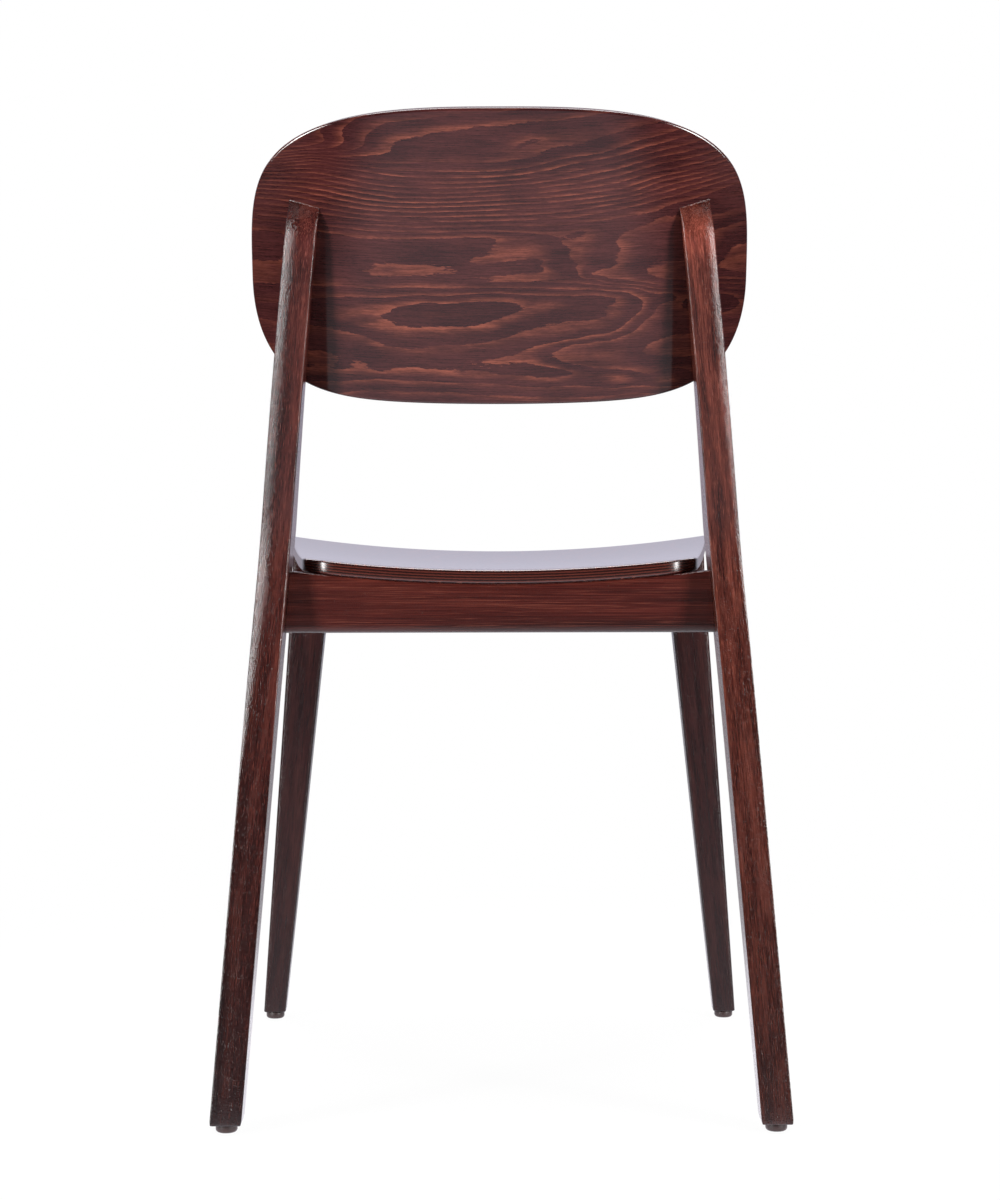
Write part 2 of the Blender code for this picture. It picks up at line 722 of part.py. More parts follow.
def fit_glides(pieces):
    feet = (
        ("rear", rear_leg_outer_x, rear_leg_inner_x, rear_leg_front_y, rear_leg_back_y),
        ("front", front_leg_outer_x, front_leg_inner_x, lambda z: FRONT_LEG_Y, front_leg_back_y),
    )
    head_z = GLIDE_RECESS_DEPTH - CLEARANCE
    nail = [
        (0.0, NAIL_LENGTH),
        (NAIL_SHANK_RADIUS, NAIL_LENGTH - NAIL_HEAD_RADIUS),
        (NAIL_SHANK_RADIUS, head_z),
        (NAIL_HEAD_RADIUS, head_z),
        (NAIL_HEAD_RADIUS, head_z - NAIL_HEAD_HEIGHT),
        (0.0, head_z - NAIL_HEAD_HEIGHT),
    ]
    hole = rod_profile(NAIL_SHANK_RADIUS + CLEARANCE, 0.0, NAIL_LENGTH + CLEARANCE)
    for end_name, outer_x, inner_x, front_y, back_y in feet:
        for side_name, side in SIDES:
            name = "%s_%s" % (end_name, side_name)
            x = side * (outer_x(FOOT_Z) + inner_x(FOOT_Z)) / 2
            y = (front_y(FOOT_Z) + back_y(FOOT_Z)) / 2
            frame = Matrix.Translation((x, y, 0.0))
            glide = turned_object("glide_" + name, glide_profile(), GLIDE_STEPS, frame, GLIDE_PLASTIC)
            glide.modifiers["Turn"].use_normal_calculate = True
            turned_object("glide_nail_" + name, nail, ROUND_STEPS, frame, SCREW_STEEL)
            cutter = turned_object("glide_nail_hole_" + name, hole, ROUND_STEPS, frame, None)
            cut_with([pieces["%s_leg_%s" % (end_name, side_name)]], cutter)


# Finishes: base colour, roughness, metallic

FRAME_WOOD = ((0.060, 0.020, 0.015), 0.35, 0.0)
VENEER = ((0.075, 0.022, 0.017), 0.30, 0.0)
BLOCK_WOOD = ((0.120, 0.055, 0.035), 0.60, 0.0)
DOWEL_WOOD = ((0.480, 0.330, 0.190), 0.65, 0.0)
SCREW_STEEL = ((0.450, 0.440, 0.420), 0.35, 1.0)
GLIDE_PLASTIC = ((0.045, 0.035, 0.035), 0.50, 0.0)

# Each cross rail: its end, the y of its front face, its thickness and the legs it meets
CROSS_RAIL_ENDS = (
    ("rear", REAR_RAIL_Y, REAR_RAIL_THICKNESS, rear_leg_inner_x),
    ("front", FRONT_RAIL_Y, FRONT_RAIL_THICKNESS, front_leg_inner_x),
)

clear_scene()
parts = make_collection(OBJECT_NAME)
cutters = make_collection(OBJECT_NAME + "_cutters")

built = [build_seat(), build_back()]
for rail_end, rail_face_y, rail_thickness, leg_inner_x in CROSS_RAIL_ENDS:
    built.append(build_cross_rail(rail_end + "_rail", rail_face_y, rail_thickness, leg_inner_x))
for name_of_side, sign in SIDES:
    built.append(build_rear_leg(name_of_side, sign))
    built.append(build_front_leg(name_of_side, sign))
    built.append(build_side_rail(name_of_side, sign))
    built.append(build_corner_block("rear", name_of_side, sign))
    built.append(build_corner_block("front", name_of_side, sign))
pieces_by_name = {item.name: item for item in built}

cut_posts_to_back([pieces_by_name["rear_leg_left"], pieces_by_name["rear_leg_right"]])
fit_rail_dowels(pieces_by_name)
fit_side_dowels(pieces_by_name)
fit_back_dowels(pieces_by_name)
fit_screws(pieces_by_name)
fit_glides(pieces_by_name)
print("side chair built from", len(parts.objects), "pieces")
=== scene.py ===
from functools import partial
from math import asin, cos, pi, radians, sin, sqrt, tan
from types import SimpleNamespace

import bmesh
import bpy
import numpy as np
from mathutils import Euler, Matrix, Vector, noise


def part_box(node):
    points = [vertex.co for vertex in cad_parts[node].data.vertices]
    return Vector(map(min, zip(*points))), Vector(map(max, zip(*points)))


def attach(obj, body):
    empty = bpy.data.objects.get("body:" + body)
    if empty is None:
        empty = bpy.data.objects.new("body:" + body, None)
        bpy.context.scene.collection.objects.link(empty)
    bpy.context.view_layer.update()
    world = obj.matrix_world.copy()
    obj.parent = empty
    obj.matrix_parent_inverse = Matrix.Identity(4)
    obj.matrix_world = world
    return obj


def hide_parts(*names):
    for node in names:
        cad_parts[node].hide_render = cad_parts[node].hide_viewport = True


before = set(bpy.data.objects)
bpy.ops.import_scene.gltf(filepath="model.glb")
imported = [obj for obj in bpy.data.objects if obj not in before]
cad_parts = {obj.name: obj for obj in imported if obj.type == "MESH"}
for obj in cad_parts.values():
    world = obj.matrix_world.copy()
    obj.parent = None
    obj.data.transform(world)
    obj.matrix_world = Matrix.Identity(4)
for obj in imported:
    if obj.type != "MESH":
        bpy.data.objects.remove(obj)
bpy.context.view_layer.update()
scene = bpy.context.scene

# The lines of the frame and of the two sheets are those of the solid model, in metres
gap = 0.0003
rearLegSizes = SimpleNamespace(
    footHalfWidth=0.2331, splay=radians(4.15), width=0.0255, footZ=0.0068, footBackY=0.253,
    footFrontY=0.2265, kneeZ=0.460, kneeBackY=0.163, kneeFrontY=0.113, kneeSoftening=0.035,
    postLean=radians(8.7), bowStart=0.300, bowRadius=11.5, bendZ=0.712, topRadius=0.040,
    crownWidth={"Left": 0.0125, "Right": 0.0090}, crownTurn=radians(23.5), crownRound=0.0013,
    crownFade={"Left": (0.26, 0.42), "Right": (0.36, 0.60)}, leastCrown=0.12, roundSteps=5,
    crownSteps=7, cornerRoom=0.001, innerBackRound=0.0020, frontRound=0.003, footRound=0.0015,
    footTuck=0.0004, tipThickness=0.0004, kneeSpan=(0.425, 0.495), rows=(24, 14, 26), tipRows=20,
)


def bentLine(t, atKnee, slopeBelow, slopeAbove, softening):
    if t < -softening:
        return atKnee + slopeBelow * t
    if t > softening:
        return atKnee + slopeAbove * t
    turn = (slopeAbove - slopeBelow) * (t + softening) ** 2 / (4 * softening)
    return atKnee + slopeBelow * t + turn


def rearLegOuterX(z):
    s = rearLegSizes
    bow = max(0.0, z - s.bowStart)
    return s.footHalfWidth - z * tan(s.splay) - bow * bow / (2 * s.bowRadius)


def rearLegInnerX(z):
    return rearLegOuterX(z) - rearLegSizes.width


def postFaceY(z):
    s = rearLegSizes
    slope = (s.kneeBackY - s.footBackY) / (s.kneeZ - s.footZ)
    return bentLine(z - s.kneeZ, s.kneeBackY, slope, tan(s.postLean), s.kneeSoftening)


def rearLegBackY(z):
    s = rearLegSizes
    if z <= s.bendZ:
        return postFaceY(z)
    centreY = postFaceY(s.bendZ) - s.topRadius * cos(s.postLean)
    centreZ = s.bendZ + s.topRadius * sin(s.postLean)
    return centreY + sqrt(max(0.0, s.topRadius ** 2 - (z - centreZ) ** 2))


def rearLegFrontY(z):
    s = rearLegSizes
    slope = (s.kneeFrontY - s.footFrontY) / (s.kneeZ - s.footZ)
    return bentLine(z - s.kneeZ, s.kneeFrontY, slope, 0.0, s.kneeSoftening)


backSizes = SimpleNamespace(
    bendRadius=0.500, lean=radians(16), centreY=0.2006, centreZ=0.6776, thickness=0.0105,
    halfWidth=0.210, upper=(0.1417, 2.65, 3.8), lower=(0.0989, 5.4, 2.23), round=0.0022, rings=72,
    points=320, poleV=0.012,
)


def backSurfaceY(x, z):
    s = backSizes
    out = s.bendRadius * cos(asin(x / s.bendRadius)) - s.bendRadius
    flatY = s.centreY + out * cos(s.lean)
    flatZ = s.centreZ - out * sin(s.lean)
    return flatY + (z - flatZ) * tan(s.lean)


frontLegSizes = SimpleNamespace(
    footHalfWidth=0.2306, footSize=0.021, widening=0.0354, deepening=0.030, faceY=-0.239,
    round=0.003, footRound=0.0015, plainTopZ=0.43, headZ=0.445, rows=30,
)


def frontLegOuterX(z):
    return frontLegSizes.footHalfWidth - z * tan(rearLegSizes.splay)


def frontLegInnerX(z):
    return frontLegOuterX(z) - frontLegSizes.footSize - z * frontLegSizes.widening


def frontLegBackY(z):
    return frontLegSizes.faceY + frontLegSizes.footSize + z * frontLegSizes.deepening


seatSizes = SimpleNamespace(
    rearY=0.150, frontY=-0.253, rearZ=0.4467, crestRise=0.0102, crestY=-0.203, dip=0.0015,
    frontDrop=0.012, dishRadius=1.33, thickness=0.0115, rearHalfWidth=0.163, frontHalfWidth=0.206,
    rearCorner=0.028, middleY=-0.05, frontCorner=0.045, round=0.0022, rings=52, points=280,
)


def seatTopZ(x, y):
    s = seatSizes
    run = (s.rearY - y) / (s.rearY - s.crestY)
    if run <= 1.0:
        spine = s.rearZ + s.crestRise * run * run - s.dip * sin(pi * run)
    else:
        roll = (s.crestY - y) / (s.crestY - s.frontY)
        spine = s.rearZ + s.crestRise - s.frontDrop * roll * roll
    return spine + x * x / (2 * s.dishRadius)


def underSeatZ(x, y):
    return seatTopZ(x, y) - seatSizes.thickness - gap


def finishMesh(name, verts, faces, layers, sharpAngle=50):
    mesh = bpy.data.meshes.new(name)
    mesh.from_pydata(verts, [], faces)
    bm = bmesh.new()
    bm.from_mesh(mesh)
    bmesh.ops.recalc_face_normals(bm, faces=bm.faces)
    bm.to_mesh(mesh)
    bm.free()
    for layerName, values in layers.items():
        values = np.array(values, np.float32)
        kind, field = ("FLOAT_VECTOR", "vector") if values.ndim == 2 else ("FLOAT", "value")
        layer = mesh.attributes.new(layerName, kind, "POINT")
        layer.data.foreach_set(field, values.ravel())
    mesh.shade_smooth()
    mesh.set_sharp_from_angle(angle=radians(sharpAngle))
    piece = bpy.data.objects.new(name, mesh)
    scene.collection.objects.link(piece)
    return piece


# A rounded rectangle as (share, offset, share, offset), so that it can taper and follow a face
def sectionPlan(radii, turns=6, mids=3):
    corners = ((0, 0), (1, 0), (1, 1), (0, 1))
    plan = []
    radii = [radius if isinstance(radius, tuple) else (radius, radius) for radius in radii]
    for index, ((sx, sy), (wide, deep)) in enumerate(zip(corners, radii)):
        for turn in range(turns + 1):
            angle = pi + (index + turn / turns) * pi / 2
            plan.append((
                sx, wide * (1 - 2 * sx) + wide * cos(angle),
                sy, deep * (1 - 2 * sy) + deep * sin(angle),
            ))
        nextX, nextY = corners[(index + 1) % 4]
        nextWide, nextDeep = radii[(index + 1) % 4]
        for mid in range(1, mids + 1):
            share = mid / (mids + 1)
            if nextX != sx:
                slide = wide * (1 - share) - nextWide * share
                plan.append((sx + (nextX - sx) * share, slide * (nextX - sx), sy, 0.0))
            else:
                slide = deep * (1 - share) - nextDeep * share
                plan.append((sx, 0.0, sy + (nextY - sy) * share, slide * (nextY - sy)))
    return plan


# The faces between two rings of points, each named by its first point
def band(low, high, count):
    turns = [(index, (index + 1) % count) for index in range(count)]
    return [(low + index, low + after, high + after, high + index) for index, after in turns]


def loft(rings):
    count = len(rings[0])
    verts = [point for ring in rings for point in ring]
    faces = []
    for low in range(0, len(verts) - count, count):
        faces += band(low, low + count, count)
    faces.append(tuple(range(count)))
    faces.append(tuple(range(len(verts) - count, len(verts))))
    return verts, faces


# Rounding of an end: (how far in, how far along) from the end's flat to its side
def endRounding(radius, steps=4):
    turns = [pi / 2 * step / steps for step in range(steps + 1)]
    return [(radius * (1 - sin(turn)), radius * (1 - cos(turn))) for turn in turns]


def spaced(low, high, count):
    return [low + (high - low) * index / count for index in range(count + 1)]


# The span from low to high shrinks by the inset on each side, and the value moves with it
def tuckIn(value, low, high, inset):
    middle = (low + high) / 2
    return middle + (value - middle) * (1 - inset / ((high - low) / 2))


# The face of a post follows the bend of the backrest where that lies behind the plain face
def postFront(x, z):
    plain, bent = rearLegFrontY(z), backSurfaceY(x, z) + gap
    blend = 0.001
    return max(plain, bent) + max(0.0, blend - abs(plain - bent)) ** 2 / (4 * blend)


# The height at which a post has thinned out to its tip, found by halving
def postTopZ(x):
    low, high = rearLegSizes.bendZ, rearLegSizes.bendZ + rearLegSizes.topRadius
    for halving in range(40):
        middle = (low + high) / 2
        if rearLegBackY(middle) - backSurfaceY(x, middle) - gap > rearLegSizes.tipThickness:
            low = middle
        else:
            high = middle
    return low


# A bar of wood: pointOf takes a station and a point of the plan, and gives the point's place and
# its place in the grain
def makeBar(name, plan, stations, pointOf):
    placed = [[pointOf(station, *share) for share in plan] for station in stations]
    verts, faces = loft([[point for point, inGrain in ring] for ring in placed])
    grain = [inGrain for ring in placed for point, inGrain in ring]
    return finishMesh(name, verts, faces, {"grain": grain})


def makeRearLeg(sideName, side, seed):
    s = rearLegSizes
    # The back face is crowned towards its outer edge, which is then rounded off
    wide, small, limit = s.crownWidth[sideName], s.crownRound, s.crownTurn
    crown = small + (wide - small) / sin(limit)
    deep = crown * (1 - cos(limit)) + small * cos(limit)
    steps, mids = s.roundSteps + s.crownSteps, 3
    radii = (s.frontRound, s.frontRound, (wide, deep), s.innerBackRound)
    plan = sectionPlan(radii, steps, mids)
    for step in range(steps + 1):
        if step < s.roundSteps:
            angle = pi / 2 - (pi / 2 - limit) * step / s.roundSteps
            dx, dy = small * (sin(angle) - 1), small * cos(angle) - deep
        else:
            angle = limit * (steps - step) / s.crownSteps
            dx, dy = crown * sin(angle) - wide, crown * (cos(angle) - 1)
        plan[2 * (steps + 1 + mids) + step] = (1, dx, 1, dy)
    # A station is its height, its inset and how far it has climbed from the bend to the tip
    tuck, footRound = s.footTuck, s.footRound
    stations = [(s.footZ + rise, inset + tuck, 0) for inset, rise in endRounding(footRound)]
    levels = (s.footZ + 3 * footRound, *s.kneeSpan, s.bendZ)
    stations.append((levels[0], 0.0, 0))
    for low, high, count in zip(levels, levels[1:], s.rows):
        stations += [(z, 0.0, 0) for z in spaced(low, high, count)[1:]]
    for share in spaced(0, 1, s.tipRows)[1:]:
        stations.append((s.bendZ, 0.0, sin(pi / 2 * share)))
    fadeLow, fadeHigh = s.crownFade[sideName]

    def pointOf(station, sx, dx, sy, dy):
        z, inset, climb = station
        if climb:
            z += climb * (postTopZ(rearLegInnerX(z) + s.width * sx + dx) - z)
        # The corners are sharper towards the foot
        fullness = min(1.0, max(s.leastCrown, (z - fadeLow) / (fadeHigh - fadeLow)))
        inner, outer = rearLegInnerX(z), rearLegOuterX(z)
        x = inner + (outer - inner) * sx + dx * fullness
        front, back = postFront(x, z), rearLegBackY(z)
        squeeze = min(1.0, (back - front) / (deep + s.frontRound + s.cornerRoom))
        y = front + (back - front) * sy + dy * fullness * squeeze
        x, y = tuckIn(x, inner, outer, inset), tuckIn(y, front, back, inset)
        return (side * x, y, z), (x - inner, y - postFaceY(z) + seed, z + seed)

    return makeBar("rearLeg" + sideName, plan, stations, pointOf)


def makeFrontLeg(sideName, side, seed):
    s = frontLegSizes
    footZ, faceY, footRound = rearLegSizes.footZ, s.faceY, s.footRound
    stations = [(footZ + rise, inset) for inset, rise in endRounding(footRound)]
    stations += [(z, 0.0) for z in spaced(footZ + footRound, s.plainTopZ, s.rows)[1:]]
    stations.append((None, 0.0))

    # The last station, which has no height of its own, lies against the seat
    def pointOf(station, sx, dx, sy, dy):
        z, inset = station
        level = s.headZ if z is None else z
        inner, outer, back = frontLegInnerX(level), frontLegOuterX(level), frontLegBackY(level)
        x = tuckIn(inner + (outer - inner) * sx + dx, inner, outer, inset)
        y = tuckIn(faceY + (back - faceY) * sy + dy, faceY, back, inset)
        height = underSeatZ(x, y) if z is None else z
        return (side * x, y, height), (x - inner + seed, y + seed, height + seed)

    return makeBar("frontLeg" + sideName, sectionPlan((s.round,) * 4), stations, pointOf)


railSizes = SimpleNamespace(
    bottomZ=0.3945, rearFrontY=0.130, frontFrontY=-0.2345, thickness=0.020, round=0.002,
    rearLowerRound=0.0065, sideHeight=0.0445, sideThickness=0.021, sideInset=0.0025, crossRows=48,
    sideRows=32,
)


def makeCrossRail(name, frontY, innerX, lowerRearRound, seed):
    s = railSizes
    plan = sectionPlan((s.round, lowerRearRound, s.round, s.round))

    def pointOf(share, sx, dx, sy, dy):
        y = frontY + s.thickness * sx + dx
        topZ = underSeatZ(share * innerX(seatSizes.rearZ), y)
        z = s.bottomZ + (topZ - s.bottomZ) * sy + dy
        x = share * (innerX(z) - gap)
        z += sy * (underSeatZ(x, y) - topZ)
        return (x, y, z), (z + seed, y + seed, x + seed)

    return makeBar(name, plan, spaced(-1, 1, s.crossRows), pointOf)


def sideRailOuterX(y, z):
    share = (y - frontLegBackY(z)) / (rearLegFrontY(z) - frontLegBackY(z))
    span = rearLegOuterX(z) - frontLegOuterX(z)
    return frontLegOuterX(z) + span * share - railSizes.sideInset


def makeSideRail(sideName, side, seed):
    s = railSizes
    plan = sectionPlan((s.round,) * 4)

    def pointOf(share, sx, dx, sy, dy):
        z = s.bottomZ + s.sideHeight * sy + dy
        low, high = frontLegBackY(z) + gap, rearLegFrontY(z) - gap
        y = low + (high - low) * share
        x = sideRailOuterX(y, z) - s.sideThickness * (1 - sx) + dx
        return (side * x, y, z), (z + seed, x + seed, y + seed)

    return makeBar("sideRail" + sideName, plan, spaced(0, 1, s.sideRows), pointOf)


# A moulded sheet: rings run from a pole on one face, round the edge, to a pole on the other
def makeSheet(name, outline, centre, sizes, place, ringOf, grainOf):
    outline, centre = np.array(outline), np.array(centre)
    along = np.roll(outline, -1, 0) - np.roll(outline, 1, 0)
    along /= np.linalg.norm(along, axis=1, keepdims=True)
    inward = np.stack((-along[:, 1], along[:, 0]), 1)
    count, radius, thickness = len(outline), sizes.round, sizes.thickness
    faceEdge = outline + inward * radius
    # The rings of a face crowd together towards its edge
    shares = [sin(pi / 2 * share) ** 0.8 for share in spaced(0, 1, sizes.rings)[1:]]
    rounding = endRounding(radius, 5)[1:]
    # Each ring is its points, their depth and how far they are round the edge
    rings = [(centre + (faceEdge - centre) * share, 0.0, 0.0) for share in shares]
    rings += [(outline + inward * inset, depth, depth / radius) for inset, depth in rounding]
    rings += [(points, thickness - depth, onEdge) for points, depth, onEdge in rings[::-1]]
    pole = centre[None, :]
    flat = np.concatenate([pole] + [ring[0] for ring in rings] + [pole])
    depths = [0.0] + [ring[1] for ring in rings for point in outline] + [thickness]
    edge = [0.0] + [ring[2] for ring in rings for point in outline] + [0.0]
    verts = [place(u, v, depth) for (u, v), depth in zip(flat, depths)]
    last = len(verts) - 1
    faces = [(0, 1 + index, 1 + (index + 1) % count) for index in range(count)]
    for low in range(1, last - count, count):
        faces += band(low, low + count, count)
    low = last - count
    faces += [(last, low + (index + 1) % count, low + index) for index in range(count)]
    grain = [grainOf(u, v, depth) for (u, v), depth in zip(flat, depths)]
    return finishMesh(name, verts, faces, {"ring": ringOf(flat), "grain": grain, "edge": edge})


# Points at equal steps along a closed outline
def resample(points, count):
    points = np.array(points + points[:1])
    lengths = np.concatenate(([0.0], np.cumsum(np.linalg.norm(np.diff(points, axis=0), axis=1))))
    wanted = np.linspace(0.0, lengths[-1], count, endpoint=False)
    return np.stack([np.interp(wanted, lengths, points[:, axis]) for axis in (0, 1)], 1)


def backPlace(u, v, inset):
    s = backSizes
    angle, radius = u / s.bendRadius, s.bendRadius - inset
    out = radius * cos(angle) - s.bendRadius
    y = s.centreY + out * cos(s.lean) + v * sin(s.lean)
    return radius * sin(angle), y, s.centreZ - out * sin(s.lean) + v * cos(s.lean)


fineSteps = 900  # along half an outline, before it is resampled


def backOutline():
    s = backSizes
    points = []
    for (height, flatness, fullness), up in ((s.upper, 1), (s.lower, -1)):
        for turn in spaced(0, pi, fineSteps)[:-1]:
            share = cos(turn)
            rise = height * max(0.0, 1 - abs(share) ** flatness) ** (1 / fullness)
            points.append((up * s.halfWidth * share, up * rise))
    return resample(points, s.points)


def seatOutline():
    s = seatSizes

    def cornerCut(radius, distance):
        inside = min(radius, max(0.0, radius - distance))
        return radius - sqrt(radius ** 2 - inside ** 2)

    right = []
    for turn in spaced(0, pi, fineSteps):
        y = s.frontY + (s.rearY - s.frontY) * (1 - cos(turn)) / 2
        run = (s.rearY - y) / (s.rearY - s.frontY)
        x = s.rearHalfWidth + (s.frontHalfWidth - s.rearHalfWidth) * run
        x -= cornerCut(s.rearCorner, s.rearY - y)
        x -= cornerCut(s.frontCorner, y - s.frontY)
        right.append((x, y))
    return resample(right + [(-x, y) for x, y in right[::-1]], s.points)


# Growth rings of the backrest's veneer, drawn as the lines where each ring ends, in millimetres
# along and up the panel. The height of the rings is known on the lines and at a few places between.
# The stretch is how much further a mark reaches along than up, and the softness is how loosely the
# surface follows the marks.
backFigure = SimpleNamespace(
    stretch=2.3, softness=2.0,
    rings=[
        (0, [(205, 46), (170, 44), (130, 38.5), (95, 37), (60, 37.5), (30, 39), (8, 38), (2, 31),
            (6, 24), (18, 19), (32, 15.5), (50, 15), (75, 15), (95, 14), (110, 11.5)]),
        (0, [(104, 8), (75, 8.5), (50, 7.5), (36, 9)]),
        (0, [(28, 12.5), (12, 17), (-8, 20.5), (-25, 21.5), (-37, 19), (-38, 13), (-25, 8),
            (-5, 6.5), (15, 8)]),
        (0, [(20, 3.5), (0, 2.5), (-20, 3.5), (-40, 2.5), (-60, 1), (-90, -2.5), (-110, -5),
            (-140, -10), (-180, -13)]),
        (0, [(-43, -58.5), (-50, -53), (-60, -50), (-80, -48), (-100, -44.5), (-115, -37),
            (-124, -29), (-130, -20), (-150, -17), (-200, -18)]),
        (0, [(-50, -63), (-62, -67), (-80, -69.5), (-100, -72), (-125, -77), (-160, -79),
            (-200, -80)]),
        (0, [(150, -84), (100, -80), (60, -80.5), (20, -82), (-20, -84), (-80, -86), (-140, -88)]),
        (-1, [(205, 50), (150, 46), (100, 42.5), (60, 42), (20, 43.5), (-20, 43), (-42, 40),
            (-50, 33), (-53, 27), (-58, 21), (-63, 15), (-64, 8), (-75, 4), (-90, -0.5),
            (-110, -2.5), (-140, -7)]),
        (-1, [(-118, -57), (-130, -50), (-160, -45)]),
        (-1, [(-130, -61), (-160, -63)]),
        (-1, [(100, -88), (40, -90), (0, -91.5), (-60, -93), (-110, -92)]),
        (-2, [(205, 55), (150, 50), (100, 46.5), (60, 46), (20, 47.5), (-20, 47.5), (-60, 49),
            (-100, 54), (-140, 61), (-175, 70), (-200, 76)]),
        (-2, [(-140, 53), (-115, 45), (-100, 40), (-94, 30), (-92, 20), (-84, 13), (-72, 6.5),
            (-90, 2.5), (-110, 0.5), (-135, -4)]),
        (-3, [(-170, 22), (-145, 19), (-125, 16), (-118, 10), (-125, 4), (-145, 0), (-170, -2)]),
        (-4, [(-205, 26), (-190, 20), (-182, 12), (-190, 6), (-205, 2)]),
        (1, [(200, -8), (150, -5), (110, -4.5), (70, -2), (30, -2.5), (0, -2), (-30, -2.5),
            (-60, -4), (-90, -7), (-110, -11), (-119, -17), (-116, -24), (-104, -35), (-90, -41),
            (-65, -44), (-45, -47), (-28, -51), (-15, -57), (-10, -60.5), (-25, -64), (-45, -69),
            (-60, -73), (-100, -79), (-140, -83)]),
        (1, [(160, -59), (130, -62), (115, -67), (130, -71), (160, -73)]),
        (1, [(100, -74), (60, -70), (30, -71), (0, -73.5), (-25, -75)]),
        (2, [(200, -22), (150, -15), (120, -12), (80, -10.5), (45, -9.5), (10, -7), (-20, -7.5),
            (-50, -8.5), (-80, -9.5), (-94, -12), (-98, -17), (-92, -23), (-78, -30), (-55, -33),
            (-35, -35), (-15, -39), (-5, -44), (10, -47), (35, -51), (60, -54), (80, -53.5),
            (95, -52), (102, -47), (125, -42), (150, -39), (200, -36)]),
        (3, [(95, -25), (85, -18.5), (60, -15), (30, -14.5), (0, -13.5), (-12, -15), (-21, -18),
            (-12, -23), (0, -28), (20, -33), (50, -34.5), (75, -33.5), (92, -30)]),
    ],
    between=[
        (140, 25, 0.35), (100, 27, 0.3), (60, 27, 0.3), (25, 28, 0.2), (90, 11, -0.12),
        (60, 11.5, -0.12), (42, 12, -0.1), (-8, 14, 0.45), (20, 13.5, 0.1), (0, 4.5, -0.12),
        (-20, 5.6, -0.12), (-10, 32, -0.1), (-28, 33, -0.12), (-30, 26, -0.1), (-12, 26, -0.06),
        (-43, 31, -0.6), (-46, 22, -0.72), (-42, 14, -0.5), (-58, 31, -1.1), (-66, 28, -1.25),
        (-75, 25, -1.55), (-85, 25, -1.8), (-70, 16, -1.4), (-65, 44, -0.95), (-110, 49, -1.75),
        (-140, 57, -1.75), (-175, 66, -1.75), (-82, 46, -1.5), (-102, 28, -2.1), (-96, 14, -2.15),
        (-110, 26, -2.45), (-125, 30, -2.65), (-120, 38, -2.3), (-150, 35, -2.7), (-85, 7, -2.15),
        (-105, 6, -2.4), (-138, 9, -3.15), (-165, 10, -3.5), (-205, 14, -4.15), (-175, 40, -2.8),
        (-205, 45, -3), (110, -26, 2.86), (130, -28, 2.7), (155, -28, 2.45), (200, -30, 2.3),
        (70, -25, 3.4), (35, -24, 3.5), (5, -20, 3.35), (60, -38, 2.78), (60, -46, 2.3),
        (20, -37, 2.78), (20, -43, 2.3), (95, -37, 2.75), (95, -44, 2.3), (-28, -18, 2.86),
        (-45, -17, 2.6), (-65, -19, 2.3), (-86, -17, 2.1), (-40, -27, 2.35), (-10, -30, 2.7),
        (-105, -22, 1.5), (-70, -38, 1.5), (-25, -44, 1.6), (-5, -55, 1.3), (40, -61, 1.25),
        (80, -62, 1.3), (110, -58, 1.3), (6, -62, 1), (145, -66, 0.8), (200, -64, 0.6),
        (-60, -58, -0.12), (-80, -59, -0.2), (-95, -52, -0.25), (-95, -64, -0.25),
        (-108, -57, -0.55), (-120, -45, -0.5), (-122, -70, -0.45), (-140, -35, -0.5),
        (-145, -55, -1.2), (-200, -50, -1.5), (-130, -12, 0.3), (0, -78, 0.4), (60, -75.5, 0.45),
        (100, -77, 0.4), (-60, -79, 0.45), (0, 98, -14), (60, 98, -14), (150, 98, -13.4),
        (200, 80, -8.5), (-60, 98, -12.2), (-120, 98, -10), (-180, 98, -8), (0, 72, -7.9),
        (100, 72, -8.2), (-100, 75, -6.6), (-170, 85, -5.6), (88, 103, -14.9), (50, 108, -14.6),
        (20, 108, -14.7), (70, 108, -14.6), (88, 108, -15), (70, 117, -15), (45, 123, -15),
        (15, 128, -15), (-20, 131, -15), (-60, 133.5, -15), (-85, 136, -15), (45, 114, -14.75),
        (0, 115, -14.5), (-28, 110, -14.15), (-12, 109, -14), (-45, 110, -14), (-28, 116, -14),
        (-28, 103, -13.95), (-30, 122, -14.4), (-70, 118, -14.2), (-75, 108, -13.6),
        (96, 112, -15.3), (109, 112, -16), (125, 112, -17), (142, 111, -17.9), (0, 138, -15.9),
        (60, 132, -15.9), (-60, 140, -15.8), (-130, 120, -13.2), (170, 99, -14.8), (112, 102, -15),
        (142, 102, -15.4), (160, 109, -18.3), (182, 106, -18.4), (112, 122, -16.3),
        (132, 121, -17.3), (152, 118, -18.4),
    ],
)
# Growth rings of the seat's veneer: a long hill with ovals raised on it, in millimetres. Each oval
# is its place, half length, half height, rise and tilt in degrees. A wave is its size and weight.
seatFigure = SimpleNamespace(
    flatness=34, spacing=8.5, wander=0.8, seed=11.0, swaySize=(130, 70), sway=14,
    arch=0.0006, waveStretch=2.6, waves=((60, 1.0), (22, 0.4), (9, 0.14)),
    ovals=[
        (40, 10, 70, 16, 1.6, 0), (-70, -12, 60, 14, 1.4, 3), (170, 5, 90, 26, -1.8, 2),
        (-190, 8, 80, 22, -1.5, 0), (0, 80, 60, 12, 0.8, 4), (20, -95, 70, 14, 0.9, -3),
    ],
)


